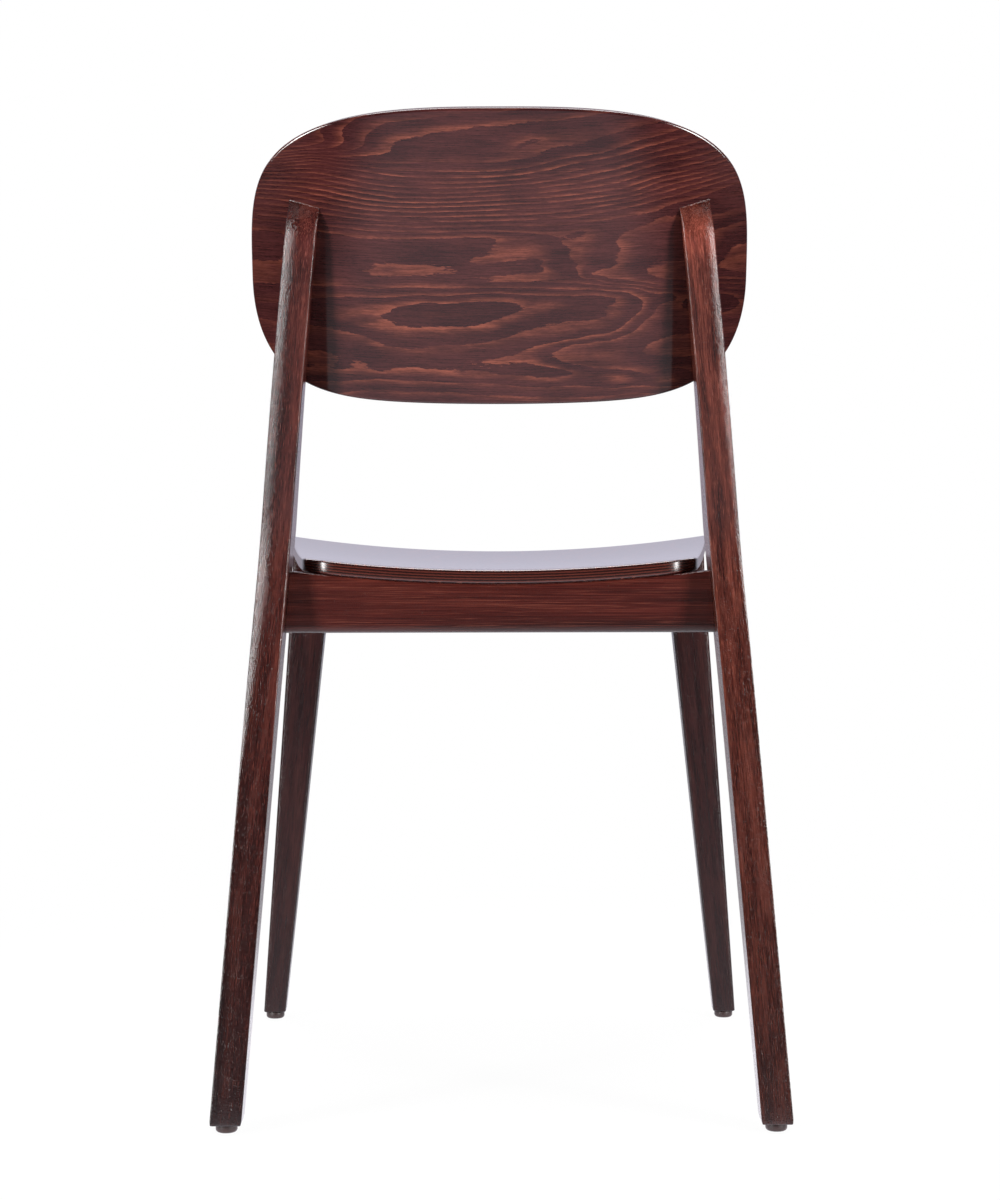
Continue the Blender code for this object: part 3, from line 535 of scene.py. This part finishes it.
# A smooth surface through the heights of the ring lines, bent as a thin plate bends
def ringSurface(figure):
    marks = [(u, v, level) for level, line in figure.rings for u, v in line] + figure.between
    marks = np.array(marks, float)
    at = marks[:, :2] / (figure.stretch, 1)
    count = len(at)

    def bend(points):
        away = ((points[:, None] - at[None]) ** 2).sum(-1)
        return 0.5 * away * np.log(away + 1e-9)

    flat = np.concatenate((np.ones((count, 1)), at), 1)
    stiff = bend(at) + np.eye(count) * figure.softness
    rows = np.block([[stiff, flat], [flat.T, np.zeros((3, 3))]])
    weights = np.linalg.solve(rows, np.concatenate((marks[:, 2], np.zeros(3))))

    def heights(points):
        points = np.array(points) * 1000 / (figure.stretch, 1)
        return bend(points) @ weights[:-3] + weights[-3] + points @ weights[-2:]

    return heights


def ringHeight(figure, along, across):
    along, across, seed = along * 1000, across * 1000, figure.seed
    swayLong, swayWide = figure.swaySize
    sway = figure.sway * noise.noise(Vector((along / swayLong, across / swayWide, seed)))
    away = across + sway + figure.arch * along * along
    height = -(sqrt(away * away + figure.flatness ** 2) - figure.flatness) / figure.spacing
    for ovalU, ovalV, halfLength, halfHeight, rise, tilt in figure.ovals:
        turn = radians(tilt)
        du, dv = along - ovalU, across - ovalV
        longWay = (du * cos(turn) + dv * sin(turn)) / halfLength
        shortWay = (dv * cos(turn) - du * sin(turn)) / halfHeight
        height += rise * 2.718 ** -(longWay * longWay + shortWay * shortWay)
    for size, weight in figure.waves:
        place = Vector((along / size / figure.waveStretch, across / size, seed + size))
        height += figure.wander * weight * noise.noise(place)
    return height


def colour(hexCode):
    linear = []
    for place in (1, 3, 5):
        part = int(hexCode[place:place + 2], 16) / 255
        linear.append(part / 12.92 if part <= 0.04045 else ((part + 0.055) / 1.055) ** 2.4)
    return linear + [1.0]


# Adds one node with its settings and links; a kind without Node in its name is a shader node's.
# Stops are the places and colours of a colour ramp.
def addNode(tree, kind, sockets=None, out=0, stops=(), **settings):
    node = tree.nodes.new(kind if "Node" in kind else "ShaderNode" + kind)
    for name, value in settings.items():
        setattr(node, name, value)
    for index, (place, value) in enumerate(stops):
        if index == len(node.color_ramp.elements):
            node.color_ramp.elements.new(1.0)
        stop = node.color_ramp.elements[index]
        stop.position = place
        stop.color = colour(value) if isinstance(value, str) else [value] * 3 + [1]
    for key, value in (sockets or {}).items():
        if isinstance(value, bpy.types.NodeSocket):
            tree.links.new(value, node.inputs[key])
        else:
            node.inputs[key].default_value = value
    return node.outputs[out] if out is not None else node


# Settings that nodes share: colours laid over or multiplied by one another, and a soft ramp
laidOver = {"data_type": "RGBA", "out": 2}
multiplied = {"data_type": "RGBA", "blend_type": "MULTIPLY", "out": 2}
softRamp = {"interpolation_type": "SMOOTHSTEP"}
ramp = ("Value", "From Min", "From Max", "To Min", "To Max")  # what a row of ramps gives


# A material whose nodes one of the functions below adds; it gives the surface's shader
def makeMaterial(name, finish, **values):
    material = bpy.data.materials.new(name)
    material.use_nodes = True
    material.node_tree.nodes.clear()
    put = partial(addNode, material.node_tree)
    put("OutputMaterial", {"Surface": finish(put, **values)}, out=None)
    return material


# Wood fibre noise: its spacings across and along the grain are in millimetres
def fibres(put, grain, across, along, detail, seed):
    place = put("Mapping", {
        "Vector": grain, "Location": (seed, seed, seed),
        "Scale": (1000 / across, 1000 / across, 1000 / along),
    })
    return put("TexNoise", {"Vector": place, "Scale": 1.0, "Detail": detail, "Roughness": 0.6})


# Solid wood, planed and sanded, under a brown stain and a sprayed lacquer: straight dark and light
# grain, short pores, and a fine orange peel that breaks up the highlights. Heartwood is how far
# from the inner side of a leg, in metres, the wood turns darker.
# The painted foot shade is how dark the colour is painted at the foot, as painted shade; 1.0 leaves
# it plain
def frameWood(put, tones, streakLength, pore, footShade=1.0, heartwood=None, sheen=0.5):
    grain = put("Attribute", out="Vector", attribute_name="grain")
    place = put("TexCoord", out="Object")
    bands = fibres(put, grain, 9.0, 2.2 * streakLength, 3.0, 1.7)
    streaks = fibres(put, grain, 0.9, streakLength, 3.0, 5.3)
    pores = fibres(put, grain, 0.45, 0.24 * streakLength, 2.0, 9.1)
    flecks = fibres(put, grain, 0.6, 0.26 * streakLength, 2.0, 3.9)
    base = put("ValToRGB", {0: bands}, stops=zip((0.34, 0.50, 0.64), tones))
    shade = put("ValToRGB", {0: streaks}, stops=[
        (0.34, "#9a8f8d"), (0.50, "#dcd6d5"), (0.64, "#ffffff"),
    ])
    dark = put("MapRange", dict(zip(ramp, (pores, 0.40, 0.56, 1.0 - pore))))
    for share, factor in ((0.8, shade), (1.0, dark)):
        base = put("Mix", {0: share, 6: base, 7: factor}, **multiplied)
    bright = put("MapRange", dict(zip(ramp, (flecks, 0.56, 0.72, 0.0, 0.45))))
    base = put("Mix", {0: bright, 6: base, 7: colour(tones[3])}, **laidOver)
    # By height: painted shade towards the foot, painted light on the posts' bend, less at the tips
    height = put("SeparateXYZ", {0: place}, out=2)
    rows = [
        (height, 0.0, 0.5, footShade, 1.0), (height, 0.690, 0.710, 1.0, 2.1),
        (height, 0.712, 0.735, 1.0, 0.5),
    ]
    # The bands move the border of the heartwood to and fro
    if heartwood:
        across = put("SeparateXYZ", {0: grain}, out=0)
        wander = put("Math", {0: bands, 1: 0.024, 2: across}, operation="MULTIPLY_ADD")
        rows.append((wander, heartwood + 0.007, heartwood + 0.018, 1.0, 0.72))
    # The product is the painted shade and painted light by height, times the heartwood where it is
    # given
    paintedShadeLightAndHeartwood, *factors = [put("MapRange", dict(zip(ramp, row))) for row in rows]
    for factor in factors:
        paintedShadeLightAndHeartwood = put("Math", {0: paintedShadeLightAndHeartwood, 1: factor}, operation="MULTIPLY")
    base = put("Mix", {0: 1.0, 6: base, 7: paintedShadeLightAndHeartwood}, **multiplied)
    relief = put("TexNoise", {"Vector": place, "Scale": 1100.0, "Detail": 1.0})
    for marks, share in ((streaks, 0.1), (pores, 0.2)):
        relief = put("Math", {0: marks, 1: share, 2: relief}, operation="MULTIPLY_ADD")
    bump = put("Bump", {"Strength": 0.9, "Distance": 0.0004, "Height": relief})
    shine = put("MapRange", {"Value": streaks, "To Min": 0.10, "To Max": 0.19})
    return put("BsdfPrincipled", {
        "Base Color": base, "Roughness": shine, "IOR": 1.5, "Specular IOR Level": sheen,
        "Normal": bump,
    })


plyPair = 0.0023  # a dark and a light ply of the sheets' edges together, in metres


# Face veneer of the bent plywood, sliced so that the growth rings lie in ovals and flames, stained
# and lacquered like the frame. Its edge shows the crossing plies as dark and brown stripes.
def faceVeneer(put, tones, polished):
    grain = put("Attribute", out="Vector", attribute_name="grain")
    ring = put("Attribute", out="Fac", attribute_name="ring")
    edge = put("Attribute", out="Fac", attribute_name="edge")
    ragged = fibres(put, grain, 1.3, 7, 3.0, 2.3)
    wander = fibres(put, grain, 12, 60, 1.0, 5.5)
    streaks = fibres(put, grain, 0.8, 30, 3.0, 4.1)
    pores = fibres(put, grain, 0.6, 4.0, 2.0, 7.7)
    patches = fibres(put, grain, 7, 38, 2.0, 8.4)
    clouds = fibres(put, grain, 30, 90, 2.0, 6.2)
    height = ring
    for waver, share in ((ragged, 0.24), (wander, 0.5)):
        height = put("Math", {0: waver, 1: share, 2: height}, operation="MULTIPLY_ADD")
    # The mean of the two wavers, (0.24 + 0.5) / 2, comes off again
    height = put("Math", {0: height, 1: 0.37}, operation="SUBTRACT")
    share = put("Math", {0: height}, operation="FRACT")
    light = put("ValToRGB", {0: share}, stops=[
        (0.0, 0.0), (0.45, 0.04), (0.68, 0.28), (0.85, 0.68), (0.96, 1.0), (1.0, 0.85),
    ])
    ringNumber = put("Math", {0: height}, operation="FLOOR")
    ringTone = put("TexWhiteNoise", {"W": ringNumber}, noise_dimensions="1D")
    place = put("TexCoord", out="Object")
    placeSplit = put("SeparateXYZ", {0: place}, out=None)
    sideways = put("Math", {0: placeSplit.outputs[0]}, operation="ABSOLUTE")
    upwards = placeSplit.outputs[2]
    # What weakens the figure: the tone of a ring, patches, painted shade at the sides, and a fade
    # towards the top. What darkens the face: painted shade at the sides, and the pores.
    rows = (
        (ringTone, 0.0, 1.0, 0.45, 1.0), (patches, 0.38, 0.60, 0.32, 1.15),
        (sideways, 0.11, 0.20, 1.0, 0.6), (upwards, 0.75, 0.81, 1.0, 0.6),
        (sideways, 0.12, 0.20, 1.0, 0.84), (pores, 0.38, 0.54, 0.72, 1.0),
    )
    *lightFactors, paintedSideShade, poreDark = [put("MapRange", dict(zip(ramp, row))) for row in rows]
    for factor in lightFactors:
        light = put("Math", {0: light, 1: factor}, operation="MULTIPLY")
    dark = put("ValToRGB", {0: clouds}, stops=zip((0.38, 0.62), tones))
    face = put("Mix", {0: light, 6: dark, 7: colour(tones[2])}, **laidOver)
    shade = put("ValToRGB", {0: streaks}, stops=[
        (0.34, "#8f8685"), (0.50, "#d6cfce"), (0.64, "#ffffff"),
    ])
    for share, factor in ((0.75, shade), (1.0, poreDark), (1.0, paintedSideShade)):
        face = put("Mix", {0: share, 6: face, 7: factor}, **multiplied)
    depth = put("SeparateXYZ", {0: grain}, out=1)
    plyTurn = put("Math", {0: depth, 1: 2 * pi / plyPair}, operation="MULTIPLY")
    plies = put("Math", {0: plyTurn}, operation="SINE")
    plies = put("Math", {0: streaks, 1: 5.0, 2: plies}, operation="MULTIPLY_ADD")
    plies = put("MapRange", {"Value": plies, "From Min": 1.5, "From Max": 3.5})
    side = put("ValToRGB", {0: plies}, stops=[(0.1, "#1a0908"), (0.5, "#30130f"), (0.9, "#52251d")])
    onEdge = put("MapRange", {"Value": edge, "From Min": 0.2, "From Max": 0.75})
    base = put("Mix", {0: onEdge, 6: face, 7: side}, **laidOver)
    peel = put("TexNoise", {"Vector": place, "Scale": 700.0, "Detail": 1.0})
    relief = pores
    for marks, share in ((streaks, 0.5), (peel, 0.4)):
        relief = put("Math", {0: marks, 1: share, 2: relief}, operation="MULTIPLY_ADD")
    bump = put("Bump", {"Strength": 0.04, "Distance": 0.0003, "Height": relief})
    shine = put("MapRange", {"Value": streaks, "To Min": 0.075, "To Max": 0.125})
    shine = put("Math", {0: onEdge, 1: 0.14, 2: shine}, operation="MULTIPLY_ADD")
    coat = 0.0
    if polished:
        coat = put("Math", {0: 1.0, 1: onEdge}, operation="SUBTRACT")
    return put("BsdfPrincipled", {
        "Base Color": base, "Roughness": shine, "IOR": 1.5, "Normal": bump,
        "Coat Weight": coat, "Coat Roughness": 0.06,
    })


# Sawn wood: the hardwood blocks with a thin wash of stain, the dowels bare, both left matt
def sawnWood(put, low, high, roughness):
    place = put("TexCoord", out="Object")
    stretched = put("Mapping", {"Vector": place, "Scale": (60, 900, 900)})
    fibre = put("TexNoise", {"Vector": stretched, "Scale": 1.0, "Detail": 4.0, "Roughness": 0.65})
    base = put("ValToRGB", {0: fibre}, stops=[(0.35, low), (0.65, high)])
    bump = put("Bump", {"Strength": 0.4, "Distance": 0.0004, "Height": fibre})
    rough = put("MapRange", {
        "Value": fibre, "To Min": roughness - 0.08, "To Max": roughness + 0.08,
    })
    return put("BsdfPrincipled", {"Base Color": base, "Roughness": rough, "Normal": bump})


# Zinc-plated steel, drawn and stamped: a pale metal with fine cloudy plating
def zincSteel(put):
    place = put("TexCoord", out="Object")
    cloud = put("TexNoise", {"Vector": place, "Scale": 900.0, "Detail": 3.0})
    base = put("ValToRGB", {0: cloud}, stops=[(0.35, "#9c9a94"), (0.65, "#c4c1b8")])
    rough = put("MapRange", {"Value": cloud, "To Min": 0.28, "To Max": 0.45})
    bump = put("Bump", {"Strength": 0.15, "Distance": 0.0001, "Height": cloud})
    return put("BsdfPrincipled", {
        "Base Color": base, "Metallic": 1.0, "Roughness": rough, "Normal": bump,
    })


# Moulded nylon, dark brown, with a fine mould texture and scuffs where it slides
def mouldedNylon(put):
    place = put("TexCoord", out="Object")
    mould = put("TexNoise", {"Vector": place, "Scale": 1500.0, "Detail": 2.0})
    scuff = put("TexNoise", {"Vector": place, "Scale": 260.0, "Detail": 4.0})
    height = put("SeparateXYZ", {0: place}, out=2)
    low = put("MapRange", dict(zip(ramp, (height, 0.003, 0.0, 0.0, 0.7))))
    scuffed = put("MapRange", {"Value": scuff, "From Min": 0.45, "From Max": 0.6})
    worn = put("Math", {0: low, 1: scuffed}, operation="MULTIPLY")
    plain = put("ValToRGB", {0: mould}, stops=[(0.3, "#241412"), (0.7, "#351f1b")])
    base = put("Mix", {0: worn, 6: plain, 7: colour("#4d3831")}, **laidOver)
    bump = put("Bump", {"Strength": 0.2, "Distance": 0.0001, "Height": mould})
    rough = put("MapRange", {"Value": scuff, "To Min": 0.34, "To Max": 0.55})
    return put("BsdfPrincipled", {"Base Color": base, "Roughness": rough, "Normal": bump})


# The tones of a frame wood run from its dark bands to its light ones, then come its flecks
leftLegWood = makeMaterial(
    "stainedLegWoodLeft", frameWood, tones=("#341412", "#4a211d", "#623029", "#8c4c40"),
    streakLength=34, pore=0.4, footShade=0.36, heartwood=0.0125,
)
# The right leg's tones are lighter and redder than the left's: painted light for the right side
# being lit more
rightLegWoodPaintedLight = makeMaterial(
    "stainedLegWoodRight", frameWood, tones=("#3a1612", "#572820", "#70382d", "#985443"),
    streakLength=34, pore=0.4, footShade=0.40,
)
darkLegWood = makeMaterial(
    "stainedFrontLegWood", frameWood, tones=("#2a1011", "#391817", "#44201d", "#52302b"),
    streakLength=60, pore=0.25, footShade=0.6, sheen=0.28,
)
railWood = makeMaterial(
    "stainedRailWood", frameWood, tones=("#371410", "#4a1c17", "#5b2820", "#7a4032"),
    streakLength=160, pore=0.3, sheen=0.34,
)
# The tones of a veneer are those of its dark clouds, then that of the light of its rings
veneerTones = ("#3b1a1c", "#4d2525", "#93503f")
backVeneer = makeMaterial("figuredBackVeneer", faceVeneer, tones=veneerTones, polished=False)
seatVeneer = makeMaterial("figuredSeatVeneer", faceVeneer, tones=veneerTones, polished=True)
blockWood = makeMaterial("sawnBlockWood", sawnWood, low="#3d2419", high="#6a4634", roughness=0.62)
dowelWood = makeMaterial("bareBeech", sawnWood, low="#a98258", high="#cfae84", roughness=0.65)
screwSteel = makeMaterial("zincPlatedSteel", zincSteel)
glideNylon = makeMaterial("mouldedNylon", mouldedNylon)
print("materials made")


# Copies of one shape at marked points: a point's aim says which way the shape's +Z points
def makeCopies(name, shape, points, aims, material):
    mesh = bpy.data.meshes.new(name)
    mesh.from_pydata(points, [], [])
    aimLayer = mesh.attributes.new("aim", "FLOAT_VECTOR", "POINT")
    aimLayer.data.foreach_set("vector", np.array(aims, np.float32).ravel())
    holder = bpy.data.objects.new(name + "Points", mesh)
    scene.collection.objects.link(holder)
    tree = bpy.data.node_groups.new(name + "Copies", "GeometryNodeTree")
    put = partial(addNode, tree)
    tree.interface.new_socket("Geometry", in_out="INPUT", socket_type="NodeSocketGeometry")
    size = tree.interface.new_socket("Size", in_out="INPUT", socket_type="NodeSocketFloat")
    size.default_value = 1.0
    tree.interface.new_socket("Geometry", in_out="OUTPUT", socket_type="NodeSocketGeometry")
    given = put("NodeGroupInput", out=None)
    shapeGeometry = put("GeometryNodeObjectInfo", {"Object": shape}, out="Geometry")
    aim = put("GeometryNodeInputNamedAttribute", {"Name": "aim"}, data_type="FLOAT_VECTOR")
    turn = put("FunctionNodeAlignRotationToVector", {"Vector": aim}, axis="Z")
    copies = put("GeometryNodeInstanceOnPoints", {
        "Points": given.outputs["Geometry"], "Instance": shapeGeometry, "Rotation": turn,
        "Scale": given.outputs["Size"],
    })
    solid = put("GeometryNodeRealizeInstances", {"Geometry": copies})
    painted = put("GeometryNodeSetMaterial", {"Geometry": solid, "Material": material})
    put("NodeGroupOutput", {0: painted}, out=None)
    modifier = holder.modifiers.new("Copies", "NODES")
    modifier.node_group = tree
    modifier[size.identifier] = 1.0
    evaluated = holder.evaluated_get(bpy.context.evaluated_depsgraph_get())
    result = bpy.data.meshes.new_from_object(evaluated)
    piece = bpy.data.objects.new(name, result)
    scene.collection.objects.link(piece)
    holder.modifiers.clear()
    bpy.data.objects.remove(holder)
    bpy.data.objects.remove(shape)
    return piece


# A closed ring turned from (radius, height) pairs
def makeTurned(name, profile, steps):
    verts, faces = [], []
    for radius, height in profile:
        for turn in spaced(0, 2 * pi, steps)[:-1]:
            verts.append((radius * cos(turn), radius * sin(turn), height))
    for low in range(0, len(verts), steps):
        faces += band(low, (low + steps) % len(verts), steps)
    return finishMesh(name, verts, faces, {}, 40)


screwSizes = SimpleNamespace(
    headRadius=0.0037, headHeight=0.0023, flatRadius=0.0023, shankRadius=0.0019,
    headDome=((0.0009, 0.0002), (0.0003, 0.0007), (0.0, 0.0013)), length=0.026, tip=0.004,
    pointShare=0.02, recessDepth=0.0012, recessReach=0.0021, recessTaper=0.45, recessLip=0.0001,
    armHalfWidth=0.00042, pitch=0.0018, threadDepth=0.0004, steps=48, threadRows=44,
)


# A pan-head screw with a cross recess; its origin is under the head and it points along +Z
def makeScrewShape():
    s = screwSizes
    top, steps, lip = -s.headHeight, s.steps, s.recessLip
    turns = spaced(0, 2 * pi, steps)[:-1]

    def ringOf(radii, height):
        return [(size * cos(turn), size * sin(turn), height) for size, turn in zip(radii, turns)]

    # How far the cross recess reaches at each turn
    folded = [(turn + pi / 4) % (pi / 2) - pi / 4 for turn in turns]
    arms = [s.armHalfWidth / max(1e-6, abs(sin(turn))) for turn in folded]
    reach = [min(arm, s.recessReach) for arm in arms]
    rings = [
        ringOf([s.recessTaper * radius for radius in reach], top + s.recessDepth),
        ringOf(reach, top + lip),
        ringOf([max(radius + lip, s.flatRadius) for radius in reach], top),
    ]
    for inset, drop in (*s.headDome, (0.0, s.headHeight)):
        rings.append(ringOf([s.headRadius - inset] * steps, top + drop))
    rings.append(ringOf([s.shankRadius] * steps, 0.0))
    # The thread winds round the shank as rings that swell and shrink
    for row in range(1, s.threadRows + 1):
        height = (s.length - s.tip) * row / s.threadRows
        phases = [(height / s.pitch - step / steps) % 1 for step in range(steps)]
        swells = [s.threadDepth * max(0.0, 1 - abs(phase - 0.5) * 4) for phase in phases]
        radii = [s.shankRadius - s.threadDepth + swell for swell in swells]
        rings.append(ringOf(radii, height))
    rings.append([(x * s.pointShare, y * s.pointShare, s.length) for x, y, z in rings[-1]])
    verts, faces = loft(rings)
    return finishMesh("screwShape", verts, faces, {}, 35)


glideSizes = SimpleNamespace(
    radius=0.0088, height=0.0065, dome=0.0028, domeSteps=8, sole=0.0041, nailWell=0.0036,
    wellDepth=0.0024, wellTaper=0.0002, wellLip=0.0003, nailHole=0.0016, shoulder=0.0006,
    shoulderCut=0.00018, steps=56,
)


def glideProfile():
    s = glideSizes
    radius, height, well, hole = s.radius, s.height, s.nailWell, s.nailHole
    outline = [
        (well, s.wellLip), (well - s.wellTaper, s.wellDepth), (hole, s.wellDepth),
        (hole, height), (radius - s.shoulder, height),
        (radius - s.shoulderCut, height - s.shoulderCut), (radius, height - s.shoulder),
    ]
    for turn in spaced(0, pi / 2, s.domeSteps):
        outline.append((radius - s.dome * (1 - cos(turn)), s.dome * (1 - sin(turn))))
    outline.append((s.sole, 0.0))
    return outline


def keep(piece, material, slot, *nodes):
    if not piece.data.materials:
        piece.data.materials.append(material)
    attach(piece, "root")
    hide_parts(*nodes)


# The seed shifts each piece's grain
for sideName, side, seed, rearWood in (
    ("Left", 1, 0.0, leftLegWood), ("Right", -1, 0.83, rightLegWoodPaintedLight),
):
    node = sideName.lower()
    keep(makeRearLeg(sideName, side, seed), rearWood, "frame_wood", "rear_leg_" + node)
    keep(makeFrontLeg(sideName, side, seed + 0.31), darkLegWood, "frame_wood", "front_leg_" + node)
    keep(makeSideRail(sideName, side, seed + 0.57), railWood, "frame_wood", "side_rail_" + node)
print("legs and side rails made")

for end, frontY, innerX, lowerRearRound, seed in (
    ("rear", railSizes.rearFrontY, rearLegInnerX, railSizes.rearLowerRound, 1.9),
    ("front", railSizes.frontFrontY, frontLegInnerX, railSizes.round, 2.7),
):
    rail = makeCrossRail(end + "Rail", frontY, innerX, lowerRearRound, seed)
    keep(rail, railWood, "frame_wood", end + "_rail")
print("cross rails made")

backPanel = makeSheet(
    "backPanel", backOutline(), (0.0, backSizes.poleV), backSizes, backPlace,
    ringSurface(backFigure), lambda u, v, depth: (v, depth, u),
)
keep(backPanel, backVeneer, "veneer", "back_panel")
seatMiddleY = seatSizes.middleY
seatPanel = makeSheet(
    "seatPanel", seatOutline(), (0.0, seatMiddleY), seatSizes,
    lambda x, y, depth: (x, y, seatTopZ(x, y) - depth),
    lambda flat: [ringHeight(seatFigure, y - seatMiddleY, x) for x, y in flat],
    lambda x, y, depth: (x, depth, y),
)
keep(seatPanel, seatVeneer, "veneer", "seat_panel")
print("seat and backrest made")


# Screws and glides stand where their nodes are
def middleOf(node):
    low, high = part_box(node)
    return (low + high) / 2, high - low


# A screw lies along the longest side of its node's box: upwards into the seat, or outwards
screwPoints, screwAims, screwNodes = [], [], []
for node in sorted(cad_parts):
    if not node.startswith(("block_screw", "seat_screw")):
        continue
    middle, span = middleOf(node)
    axis = max(range(3), key=lambda index: span[index])
    outwards = (middle.x > 0, middle.y > seatMiddleY, True)[axis]
    aim = Vector((0, 0, 0))
    aim[axis] = 1 if outwards else -1
    screwPoints.append(middle - aim * (span[axis] / 2 - screwSizes.headHeight))
    screwAims.append(aim)
    screwNodes.append(node)
screws = makeCopies("screws", makeScrewShape(), screwPoints, screwAims, screwSteel)
keep(screws, screwSteel, "screw_steel", *screwNodes)

glideNodes = ["glide_rear_left", "glide_rear_right", "glide_front_left", "glide_front_right"]
glidePoints = [(*middleOf(node)[0].xy, 0.0) for node in glideNodes]
glideShape = makeTurned("glideShape", glideProfile(), glideSizes.steps)
glides = makeCopies("glides", glideShape, glidePoints, [(0, 0, 1)] * 4, glideNylon)
keep(glides, glideNylon, "glide_plastic", *glideNodes)
print("screws and glides made")

for node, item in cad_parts.items():
    if item.hide_render:
        continue
    if "dowel" in node:
        item.material_slots[0].material = dowelWood
    elif "block" in node:
        item.material_slots[0].material = blockWood
    elif "nail" in node:
        item.material_slots[0].material = screwSteel
print("hidden pieces finished")


# The floor is plain white to the camera. Gloss sees more of it: round the chair it is brighter than
# white, and it darkens to the sides, far off and towards the camera.
def whiteFloor(put):
    place = put("TexCoord", out="Object")
    split = put("SeparateXYZ", {0: place}, out=None)
    sideways = put("Math", {0: split.outputs[0]}, operation="ABSOLUTE")
    away = put("VectorMath", {0: place}, out="Value", operation="LENGTH")
    back = split.outputs[1]
    rows = (
        (back, 0.32, 0.85, 1.75, 0.8), (back, -0.9, -0.1, 0.7, 1.75), (back, 1.9, 2.9, 1.0, 0.1),
        (sideways, 0.8, 1.4, 1.0, 0.03), (away, 0.3, 1.1, 0.965, 1.0),
    )
    ramps = [put("MapRange", dict(zip(ramp, row)), **softRamp) for row in rows]
    behindLight, frontLight, farDim, sideDim, whiteShare = ramps
    gloss = put("Math", {0: behindLight, 1: frontLight}, operation="MINIMUM")
    for dim in (farDim, sideDim):
        gloss = put("Math", {0: gloss, 1: dim}, operation="MULTIPLY")
    diffuse = put("BsdfDiffuse", {"Color": (0.2, 0.2, 0.2, 1)})
    paper = put("BsdfDiffuse", {"Color": (0.85, 0.85, 0.85, 1)})
    white = put("Emission", {"Color": (1, 1, 1, 1), "Strength": 1.0})
    cool = put("Emission", {"Color": (0.89, 0.87, 0.94, 1), "Strength": gloss})
    toCamera = put("MixShader", {0: whiteShare, 1: paper, 2: white})
    return byRay(put, diffuse, cool, toCamera)


# What the camera, gloss and glass, and all other light see
def byRay(put, plain, glossy, toCamera):
    path = put("LightPath", out=None)
    toGloss = put("Math", {
        0: path.outputs["Is Glossy Ray"], 1: path.outputs["Is Transmission Ray"],
    }, operation="MAXIMUM")
    seen = put("MixShader", {0: toGloss, 1: plain, 2: glossy})
    return put("MixShader", {0: path.outputs["Is Camera Ray"], 1: seen, 2: toCamera})


bpy.ops.mesh.primitive_grid_add(x_subdivisions=8, y_subdivisions=8, size=12, location=(0, 0, 0))
floor = bpy.context.object
floor.name = "studioFloor"
floor.data.materials.append(makeMaterial("whiteStudioFloor", whiteFloor))

# The world is plain white to the camera. In gloss the paper behind the chair is a cool white, and
# the studio beside and behind the camera is dark.
world = bpy.data.worlds.new("whiteStudio")
scene.world = world
world.use_nodes = True
world.node_tree.nodes.clear()
put = partial(addNode, world.node_tree)
direction = put("TexCoord", out="Generated")
forward = put("SeparateXYZ", {0: direction}, out=1)
backdrop = put("MapRange", dict(zip(ramp, (forward, -0.25, 0.2, 0.64, 0.05))), **softRamp)
ambient = put("Background", {"Color": (0.9, 0.93, 1.0, 1), "Strength": 0.02})
glossy = put("Background", {"Color": (0.86, 0.84, 1.0, 1), "Strength": backdrop})
white = put("Background", {"Color": (1, 1, 1, 1), "Strength": 1.0})
surround = byRay(put, ambient, glossy, white)
put("OutputWorld", {"Surface": surround}, out=None)

# Two tall strip boxes at 54 degrees from the back, one box above the chair and two in front of it:
# each one's place, target, width, height and power in watts
softboxes = {
    "stripBoxLeft": ((1.78, 1.49, 0.85), (0, 0.2, 0.6), 0.42, 1.15, 64),
    "stripBoxRight": ((-1.78, 1.49, 0.85), (0, 0.2, 0.6), 0.46, 1.15, 64),
    "topBox": ((0, 0.0, 2.5), (0, 0.2, 0.7), 1.6, 1.0, 60),
    "frontBoxLeft": ((1.5, -1.6, 2.4), (0, 0, 0.5), 1.5, 1.5, 34),
    "frontBoxRight": ((-1.5, -1.6, 2.4), (0, 0, 0.5), 1.5, 1.5, 34),
}
for name, (place, target, width, height, power) in softboxes.items():
    data = bpy.data.lights.new(name, "AREA")
    data.shape = "RECTANGLE"
    data.size = width
    data.size_y = height
    data.energy = power
    lamp = bpy.data.objects.new(name, data)
    lamp.location = place
    lamp.rotation_euler = (Vector(target) - Vector(place)).to_track_quat("-Z", "Y").to_euler()
    scene.collection.objects.link(lamp)
print("floor, world and softboxes made")

# The camera that the photograph fits; its focal length is in pixels of the photograph's height
cameraSizes = SimpleNamespace(
    place=(0.008, 2.298, 0.4947), focal=2592, photoHeight=1200, sensor=36, tilt=radians(-1.943),
    yaw=radians(-0.211), roll=radians(-0.113),
)
camData = bpy.data.cameras.new("photoCamera")
camData.sensor_width = cameraSizes.sensor
camData.lens = cameraSizes.focal / cameraSizes.photoHeight * cameraSizes.sensor
cam = bpy.data.objects.new("photoCamera", camData)
base = Euler((radians(90), 0, radians(180)), "XYZ").to_matrix().to_4x4()
for turn, axis in ((cameraSizes.yaw, "Y"), (cameraSizes.tilt, "X"), (cameraSizes.roll, "Z")):
    base = base @ Matrix.Rotation(turn, 4, axis)
cam.matrix_world = Matrix.Translation(cameraSizes.place) @ base
scene.collection.objects.link(cam)
scene.camera = cam

scene.view_settings.view_transform = "Standard"
print("side chair finished")
